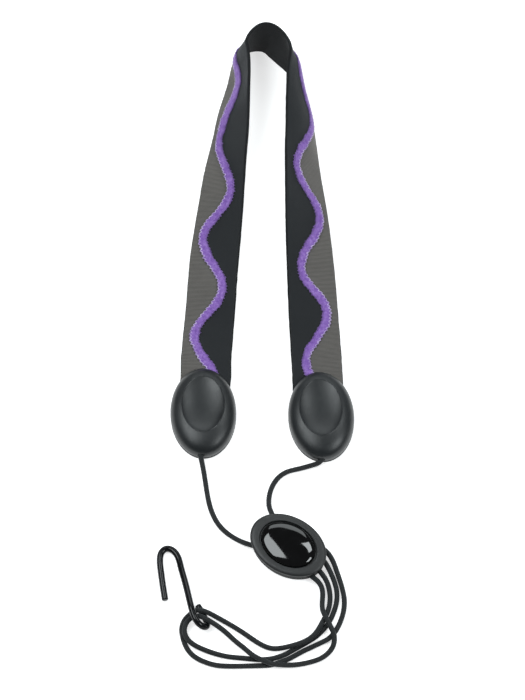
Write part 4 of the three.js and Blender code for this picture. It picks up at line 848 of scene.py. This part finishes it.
# zigzag stitching that holds the trim down along both of its edges
def stitch_line(name, side, material, pitch, r):
    d = np.arange(D0 + 9.0, D1 - 9.0, pitch / 2)
    lo, hi = trim_edges(d)
    k = np.arange(len(d))
    jitter = 0.10 * value_noise(d, 51 + side, 0.8)
    if side < 0:
        inner, outer = lo + 1.15, lo - 0.45
    else:
        inner, outer = hi - 1.15, hi + 0.45
    across = np.where(k % 2 == 0, inner, outer) + jitter
    dd = d + 0.12 * value_noise(d, 61 + side, 0.9)
    pts, rows = [], []
    for i in range(len(d) - 1):
        a0, a1, d0, d1 = across[i], across[i + 1], dd[i], dd[i + 1]
        for f, lf in ((0.0, -0.35), (0.08, 0.05), (0.3, 0.24), (0.6, 0.22), (0.9, 0.02)):
            inside = 1.0 if (k[i] % 2 == 0) else 0.0
            g = inside * (1 - f) + (1 - inside) * f
            base = TRIM_TOP * g + FACE_TOP * (1 - g)
            # the thread bulges where it climbs over the trim's edge
            hump = 0.62 * math.exp(-((g - 0.38) / 0.22) ** 2)
            pts.append((d0 + (d1 - d0) * f, a0 + (a1 - a0) * f, base + lf * 0.6 + hump))
    p = np.array(pts)
    c = band_point(p[:, 0], p[:, 1] / HALF, p[:, 2])
    t, n, b = frames(c)
    sides = 6
    phi = np.arange(sides) / sides * 2 * np.pi
    P = c[:, None, :] + r * (np.cos(phi)[None, :, None] * n[:, None, :] + np.sin(phi)[None, :, None] * b[:, None, :])
    rows_n = len(c)
    faces = [(a, dq, cq, bq) for a, bq, cq, dq in grid_faces(rows_n, sides, wrap_cols=True).tolist()]
    faces += [tuple(range(sides)), tuple(reversed([(rows_n - 1) * sides + q for q in range(sides)]))]
    s = arc(c)
    uv = np.stack([np.tile(phi * r, rows_n), np.repeat(s, sides)], 1)
    return new_object(name, P.reshape(-1, 3), faces, material, uv=uv)


stitch_out = stitch_line("trim_stitching_outer", -1, M_THREAD, 2.3, 0.24)
# the inner stitching is real, its darker thread colour is painted shade along the black-panel side
stitch_in = stitch_line("trim_stitching_inner", 1, M_THREAD_PAINTED_SHADE, 2.0, 0.21)

for o_ in (band_back, band_grey, band_black, band_trim, stitch_out, stitch_in):
    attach(o_, "neck_loop")
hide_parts("band_webbing")
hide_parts("band_outer_panel")
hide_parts("band_inner_panel")
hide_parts("band_wave_trim")


# ------------------------------------------------------------------ solids of revolution, stretched to ovals
def smooth_profile(points, n, sharp=()):
    """Dense points along a profile of (r, z), rounded between the given ones except at sharp ones."""
    pts = np.array(points, float)
    cuts = sorted({0, len(pts) - 1, *sharp})
    out = []
    total = arc(pts)[-1]
    for a, b in zip(cuts[:-1], cuts[1:]):
        seg = pts[a:b + 1]
        length = arc(seg)[-1]
        m = max(2, int(n * length / total))
        if len(seg) == 2:
            q = seg[0] + (seg[1] - seg[0]) * np.linspace(0, 1, m)[:, None]
        else:
            q = catmull(seg, np.linspace(0, len(seg) - 1, m * 4 + 1))
            s = arc(q)
            q = np.stack([np.interp(np.linspace(0, s[-1], m), s, q[:, k]) for k in range(2)], 1)
        out.append(q if not out else q[1:])
    return np.concatenate(out)


def place_points(P, x, y, angle):
    c, s = math.cos(math.radians(angle)), math.sin(math.radians(angle))
    Q = np.array(P, float)
    Q[..., 0], Q[..., 1] = c * P[..., 0] - s * P[..., 1] + x, s * P[..., 0] + c * P[..., 1] + y
    return Q


def oval_solid(name, material, profile, hw, hl, x, y, angle, segments=128):
    """Profile is (r, z) from the axis at the bottom or top, round to the axis again; r = 1 is the oval's edge. offset is in millimetres."""
    pr = np.asarray(profile, float)
    phi = np.arange(segments) / segments * 2 * np.pi
    inner = pr[1:-1]
    R, PH = np.meshgrid(inner[:, 0], phi, indexing="ij")
    Z = np.repeat(inner[:, 1][:, None], segments, 1)
    P = np.stack([R * hw * np.cos(PH), R * hl * np.sin(PH), Z], -1)
    P = place_points(P, x, y, angle)
    verts = P.reshape(-1, 3).tolist()
    faces = grid_faces(len(inner), segments, wrap_cols=True).tolist()
    i0 = len(verts); verts.append([x, y, float(pr[0, 1])])
    i1 = len(verts); verts.append([x, y, float(pr[-1, 1])])
    last = (len(inner) - 1) * segments
    for k in range(segments):
        faces.append((i0, (k + 1) % segments, k))
        faces.append((i1, last + k, last + (k + 1) % segments))
    o = new_object(name, verts, faces, material)
    fix_normals(o)
    return o


def fix_normals(o):
    bm = bmesh.new()
    bm.from_mesh(o.data)
    bmesh.ops.recalc_face_normals(bm, faces=bm.faces)
    bm.to_mesh(o.data)
    bm.free()


def smooth_by_angle(o, degrees=35):
    """Marks sharp edges and smooth faces in the mesh itself."""
    bm = bmesh.new()
    bm.from_mesh(o.data)
    lim = math.radians(degrees)
    for e in bm.edges:
        e.smooth = not (len(e.link_faces) == 2 and e.calc_face_angle(0) > lim)
    for f in bm.faces:
        f.smooth = True
    bm.to_mesh(o.data)
    bm.free()


def cylinder_mesh(name, r, z0, z1, x, y, n=32, r_top=None):
    r_top = r if r_top is None else r_top
    phi = np.arange(n) / n * 2 * np.pi
    v = [(x + r * math.cos(p), y + r * math.sin(p), z0) for p in phi] + [(x + r_top * math.cos(p), y + r_top * math.sin(p), z1) for p in phi]
    f = [(k, (k + 1) % n, n + (k + 1) % n, n + k) for k in range(n)]
    f += [tuple(reversed(range(n))), tuple(range(n, 2 * n))]
    return new_object(name, v, f, M_CAP)


def box_mesh(name, x0, x1, y0, y1, z0, z1, at=(0, 0, 0)):
    v = np.array([(x, y, z) for z in (z0, z1) for y in (y0, y1) for x in (x0, x1)], float)
    v = place_points(v, *at)
    f = [(0, 2, 3, 1), (4, 5, 7, 6), (0, 1, 5, 4), (2, 6, 7, 3), (0, 4, 6, 2), (1, 3, 7, 5)]
    return new_object(name, v, f, M_CAP)


def plain_tube(name, route, radius, sides=24, step=0.8, smooth=0):
    centre, s = resample(route, step, smooth)
    t, n, b = frames(centre)
    phi = np.arange(sides) / sides * 2 * np.pi
    P = centre[:, None, :] + radius * (np.cos(phi)[None, :, None] * n[:, None, :] + np.sin(phi)[None, :, None] * b[:, None, :])
    rows = len(centre)
    faces = [(a, d, c, bb) for a, bb, c, d in grid_faces(rows, sides, wrap_cols=True).tolist()]
    faces += [tuple(range(sides)), tuple(reversed([(rows - 1) * sides + q for q in range(sides)]))]
    o = new_object(name, P.reshape(-1, 3), faces, M_CAP)
    fix_normals(o)
    return o


def boolean(target, cutters, op="DIFFERENCE"):
    for c in cutters:
        m = target.modifiers.new("cut", "BOOLEAN")
        m.operation, m.object, m.solver = op, c, "EXACT"
        dg = bpy.context.evaluated_depsgraph_get()
        new = bpy.data.meshes.new_from_object(target.evaluated_get(dg))
        target.modifiers.clear()
        old = target.data
        target.data = new
        bpy.data.meshes.remove(old)
    for c in cutters:
        bpy.data.objects.remove(c)


# ------------------------------------------------------------------ end caps
DOME = [(0, 13.6), (0.22, 13.5), (0.42, 13.1), (0.6, 12.4), (0.75, 11.3), (0.87, 9.8), (0.95, 7.9), (0.99, 5.8), (1, 4.0), (1, 2.5)]
_dome = catmull(np.array(DOME), np.linspace(0, len(DOME) - 1, 400))
_dome_s = arc(_dome * np.array([24.0, 1.0]))


def dome_z(r):
    top = _dome[: np.argmax(_dome[:, 0] >= 0.9995) + 1]
    return np.interp(r, top[:, 0], top[:, 1])


SCOOP_Y, SCOOP_HW, SCOOP_HL, SCOOP_FLOOR = 4.8, 15.0 * 1.1, 22.0 * 1.1, 9.6


def scoop_z(x, y):
    q = 1 - (x / SCOOP_HW) ** 2 - ((y - SCOOP_Y) / SCOOP_HL) ** 2
    return np.where(q > 0, SCOOP_FLOOR + 6.6 - 6.6 * np.sqrt(np.clip(q, 0, 1)), 30.0)


def cap_shell(name, cap):
    """A domed oval shell with a crisp thumb scoop. The mesh follows the scoop's rim."""
    nseg = 160
    th = np.arange(nseg) / nseg * 2 * np.pi
    # how far the scoop's rim is from its middle on each ray
    ts = np.linspace(0, 26, 1700)
    X, Y = np.cos(th)[:, None] * ts * 0.75, SCOOP_Y + np.sin(th)[:, None] * ts
    rr = np.hypot(X / CAP_HW, Y / CAP_HL)
    below = scoop_z(X, Y) < dome_z(np.clip(rr, 0, 1))
    rim = np.array([ts[np.argmin(b)] for b in below])
    rings = []
    k = 0.035
    def height(x, y):
        r = np.clip(np.hypot(x / CAP_HW, y / CAP_HL), 0, 1)
        a, b = dome_z(r), scoop_z(x, y)
        m = np.minimum(a, b)
        return m - k * np.log(np.exp(-(a - m) / k) + np.exp(-np.clip(b - m, 0, 30) / k))
    inner = np.concatenate([np.linspace(0.05, 0.9, 26), [0.93, 0.955, 0.972, 0.982, 0.99, 0.997, 1.003, 1.01, 1.018, 1.028, 1.042]])
    for f in inner:
        t = rim * f
        x, y = np.cos(th) * t * 0.75, SCOOP_Y + np.sin(th) * t
        rings.append(np.stack([x, y, height(x, y) + 0.16 * math.exp(-((f - 1.008) / 0.013) ** 2)], 1))
    x0, y0 = rings[-1][:, 0], rings[-1][:, 1]
    r0, ph = np.hypot(x0 / CAP_HW, y0 / CAP_HL), np.arctan2(y0 / CAP_HL, x0 / CAP_HW)
    s0 = np.interp(r0, _dome[: len(_dome), 0][: np.argmax(_dome[:, 0] >= 0.9995)], _dome_s[: np.argmax(_dome[:, 0] >= 0.9995)])
    s_end = _dome_s[-1]
    for f in np.linspace(0, 1, 44)[1:]:
        s = s0 + (s_end - s0) * f
        r = np.interp(s, _dome_s, _dome[:, 0])
        z = np.interp(s, _dome_s, _dome[:, 1])
        z = z - k * np.log(1 + np.exp(-np.clip((scoop_z(r * CAP_HW * np.cos(ph), r * CAP_HL * np.sin(ph)) - z) / k, 0, 30)))
        rings.append(np.stack([r * CAP_HW * np.cos(ph), r * CAP_HL * np.sin(ph), z], 1))
    # a small turned-in lip at the parting line, then the flat underside
    for r, z in ((0.993, 2.36), (0.975, 2.34), (0.5, 2.34)):
        rings.append(np.stack([r * CAP_HW * np.cos(ph), r * CAP_HL * np.sin(ph), np.full(nseg, z)], 1))
    P = np.array(rings)
    P = place_points(P, cap["x"], cap["y"], cap["angle"])
    verts = P.reshape(-1, 3).tolist()
    faces = grid_faces(len(rings), nseg, wrap_cols=True).tolist()
    top = place_points(np.array([[0, SCOOP_Y, float(scoop_z(np.array(0.0), np.array(SCOOP_Y)))]]), cap["x"], cap["y"], cap["angle"])[0]
    i0 = len(verts); verts.append(top.tolist())
    i1 = len(verts); verts.append([cap["x"], cap["y"], 2.34])
    last = (len(rings) - 1) * nseg
    for q in range(nseg):
        faces.append((i0, (q + 1) % nseg, q))
        faces.append((i1, last + q, last + (q + 1) % nseg))
    o = new_object(name, verts, faces, M_CAP)
    fix_normals(o)
    return o


def band_direction(end):
    """Middle of the band's tail and its plan direction at one end."""
    d0 = D0 if end == "left" else D1
    d1 = D0 + 14 if end == "left" else D1 - 14
    a, b = band_point([d0], [0.0], [0.0])[0], band_point([d1], [0.0], [0.0])[0]
    return a, math.degrees(math.atan2(b[1] - a[1], b[0] - a[0])) - 90


def make_cap(side, cap, route):
    shell = cap_shell(f"{side}_cap_shell_moulding", cap)
    tail, direction = band_direction(side)
    slot = box_mesh("slot", -BAND_WIDTH / 2 - 0.35, BAND_WIDTH / 2 + 0.35, 4, 34, 1.9, 5.7, (tail[0], tail[1], direction))
    start, nxt = np.array(route[0]), np.array(route[1])
    ext = [tuple(start + (start - nxt) / np.linalg.norm(nxt - start) * 2)] + list(route[:14])
    exit_hole = plain_tube("exit", ext, 1.85)
    boolean(shell, [slot, exit_hole])
    smooth_by_angle(shell, 40)
    base_profile = smooth_profile([(0, 2.2), (0.97, 2.2), (0.992, 2.12), (1.0, 1.9), (1.0, 0.75), (0.993, 0.35), (0.97, 0.08), (0.93, 0.0), (0, 0.0)], 60, (1, 7))
    base = oval_solid(f"{side}_cap_base_moulding", M_BASE, base_profile, CAP_HW, CAP_HL, cap["x"], cap["y"], cap["angle"])
    cutters = []
    for y in (14, -9):
        p = place_points(np.array([[0.0, float(y), 0.0]]), cap["x"], cap["y"], cap["angle"])[0]
        cutters.append(cylinder_mesh("recess", 2.9, -1, 1.45, p[0], p[1], 48))
    boolean(base, cutters)
    smooth_by_angle(base, 35)
    for o in (shell, base):
        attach(o, "neck_loop")
    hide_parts(f"{side}_cap_shell")
    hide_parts(f"{side}_cap_base")
    for i, y in enumerate((14, -9)):
        make_screw(f"{side}_cap_screw_{'lower' if i else 'upper'}", cap["x"], cap["y"], cap["angle"], y, "neck_loop")
    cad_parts[f"{side}_cord_stop"].data.materials.clear()
    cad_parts[f"{side}_cord_stop"].data.materials.append(M_STOP)


def make_screw(node, x, y, angle, along, body):
    """A small pan-head screw with a cross recess, seen from below."""
    p = place_points(np.array([[0.0, float(along), 0.0]]), x, y, angle)[0]
    profile = [(0.0, 0.18), (1.5, 0.18), (2.15, 0.26), (2.5, 0.5), (2.6, 0.85), (2.58, 1.12), (2.4, 1.15), (1.25, 1.18)]
    zz = 1.18
    while zz < 6.2:
        profile += [(1.25, zz + 0.28), (1.02, zz + 0.4), (1.02, zz + 0.46), (1.25, zz + 0.58)]
        zz += 0.6
    profile += [(0.7, 6.8), (0.0, 7.0)]
    o = oval_solid(node + "_turned", M_SCREW, np.array(profile), 1.0, 1.0, p[0], p[1], angle, 40)
    cross = [box_mesh("c1", -1.35, 1.35, -0.26, 0.26, -0.5, 0.85, (p[0], p[1], angle + 20)),
             box_mesh("c2", -0.26, 0.26, -1.35, 1.35, -0.5, 0.85, (p[0], p[1], angle + 20))]
    boolean(o, cross)
    smooth_by_angle(o, 30)
    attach(o, body)
    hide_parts(node)


make_cap("left", LEFT_CAP, ROUTE_UPPER_LEFT)
make_cap("right", RIGHT_CAP, ROUTE_UPPER_RIGHT)


# ------------------------------------------------------------------ adjuster
AX, AY, AA = ADJUSTER_X, ADJUSTER_Y, ADJUSTER_ANGLE
tray_profile = smooth_profile([(0, 0), (0.92, 0.0), (0.975, 0.22), (1.0, 0.9), (1.0, 6.9), (0.985, 7.5), (0.96, 7.6), (0.0, 7.6)], 70, (1, 3, 4, 6))
tray = oval_solid("adjuster_tray_moulding", M_TRAY, tray_profile, 17.1, 24.0, AX, AY, AA)
near_adjuster = lambda pts: [p for p in pts if math.hypot(p[0] - AX, p[1] - AY) < 32]
holes = []
for pts, first in ((ROUTE_UPPER_LEFT, False), (ROUTE_UPPER_RIGHT, False), (ROUTE_FRONT_RUN[:40], True), (ROUTE_FRONT_RUN[-40:], False),
                   (ROUTE_REAR_RUN[:40], True), (ROUTE_REAR_RUN[-40:], False)):
    holes.append(plain_tube("hole", near_adjuster(pts), 2.0, 24))
boolean(tray, holes)
smooth_by_angle(tray, 40)
cover_profile = smooth_profile([(0, 8.8), (0.750, 8.8), (0.757, 8.86), (0.757, 10.1), (0.763, 10.32), (0.78, 10.4), (0.88, 10.36), (0.93, 10.16), (0.965, 9.86),
                                (0.99, 9.45), (1.0, 8.95), (0.998, 8.4), (0.985, 8.02), (0.96, 7.9), (0.0, 7.9)], 110, (1, 13))
cover = oval_solid("adjuster_cover_moulding", M_ADJ, cover_profile, 18.1, 25.0, AX, AY, AA, 160)
smooth_by_angle(cover, 40)
badge_profile = smooth_profile([(0, 9.1), (0.985, 9.1), (1.0, 9.2), (1.0, 9.5), (0.985, 10.1), (0.955, 10.7), (0.9, 11.2), (0.82, 11.65), (0.7, 12.1), (0.5, 12.63),
                                (0.3, 13.0), (0.15, 13.15), (0.0, 13.2)], 120, (1, 2))
badge = oval_solid("adjuster_badge_dome", M_BADGE, badge_profile, 13.2, 17.8, AX, AY, AA, 224)
smooth_by_angle(badge, 50)
for o_, n_, s_ in ((tray, "adjuster_tray", "adjuster_plastic"), (cover, "adjuster_cover", "adjuster_plastic"), (badge, "adjuster_badge", "badge_gloss")):
    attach(o_, "adjuster")
    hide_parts(n_)
for i_, y_ in enumerate((1.5, 13.5)):
    make_screw(f"adjuster_screw_{i_ + 1}", AX, AY, AA, y_, "adjuster")


# ------------------------------------------------------------------ hook
def wire_hook():
    centre, s = resample(HOOK_WIRE, 0.5, 1)
    t, n, b = frames(centre)
    sides = 36
    phi = np.arange(sides) / sides * 2 * np.pi
    R = 2.0
    rows = []
    # rounded ends: rings that shrink over the last wire radius
    for i in range(len(centre)):
        rows.append((centre[i], R, n[i], b[i]))
    head, tail = [], []
    round_r = 0.9
    for a in np.linspace(0, math.pi / 2, 7)[1:]:
        r, fwd = (R - round_r) + round_r * math.cos(a), round_r * math.sin(a)
        head.append((centre[0] - t[0] * fwd, r, n[0], b[0]))
        tail.append((centre[-1] + t[-1] * fwd, r, n[-1], b[-1]))
    rows = head[::-1] + rows + tail
    P = np.array([c + r * (np.cos(phi)[:, None] * nn + np.sin(phi)[:, None] * bb) for c, r, nn, bb in rows])
    verts = P.reshape(-1, 3).tolist()
    nrow = len(rows)
    faces = grid_faces(nrow, sides, wrap_cols=True).tolist()
    i0 = len(verts); verts.append(rows[0][0].tolist())
    i1 = len(verts); verts.append(rows[-1][0].tolist())
    last = (nrow - 1) * sides
    for k in range(sides):
        faces.append((i0, (k + 1) % sides, k))
        faces.append((i1, last + k, last + (k + 1) % sides))
    o = new_object("hook_wire", verts, faces, M_HOOK)
    fix_normals(o)
    return o


hook = wire_hook()
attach(hook, "hook")
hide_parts("hook")


# ------------------------------------------------------------------ floor, light
floor_m = Nodes("floor_paper")
fo = floor_m.coords("Object")
floor_m.set(color=floor_m.mix(floor_m.remap(floor_m.noise(fo, 6, 3, 0.5), 0.0, 1.0, 0.3, 0.7), (0.93, 0.93, 0.93), (0.95, 0.95, 0.95)), rough=0.75, spec=0.1)
floor_m.bsdf.inputs["Emission Color"].default_value = (1, 1, 1, 1)
floor_m.bsdf.inputs["Emission Strength"].default_value = 0.6
floor = new_object("floor", [(-2500, -2500, -0.05), (2500, -2500, -0.05), (2500, 2500, -0.05), (-2500, 2500, -0.05)], [(0, 1, 2, 3)], floor_m.mat, smooth=False)

world = bpy.data.worlds.new("world")
scene.world = world
world.use_nodes = True
world.node_tree.nodes["Background"].inputs[0].default_value = (1, 1, 1, 1)
world.node_tree.nodes["Background"].inputs[1].default_value = 0.10


def area(name, loc, target, size, power, size_y=None, turn=None):
    d = bpy.data.lights.new(name, "AREA")
    d.energy, d.size, d.color = power, size, (0.93, 0.985, 1.0)
    if size_y:
        d.shape, d.size_y = "RECTANGLE", size_y
    o = bpy.data.objects.new(name, d)
    o.location = loc
    if turn is None:
        o.rotation_euler = (Vector(target) - Vector(loc)).to_track_quat("-Z", "Y").to_euler()
    else:
        o.rotation_euler = (0, 0, math.radians(turn))
    scene.collection.objects.link(o)
    return o


area("softbox_left", (-0.64, 0.06, 1.22), None, 0.7, 13.5, 0.95, turn=23)
area("softbox_back", (0.1, 1.35, 1.1), (0, 0, 0), 1.6, 8.5, 0.7)
area("softbox_right_rear", (0.72, 0.42, 1.3), (0, 0, 0), 0.42, 4.6, 0.42)
area("softbox_right_front", (0.96, -0.50, 1.11), (0, 0, 0), 0.5, 7.5, 0.5)

scene.view_settings.view_transform = "Standard"
scene.view_settings.look = "None"
scene.view_settings.exposure = 0.0
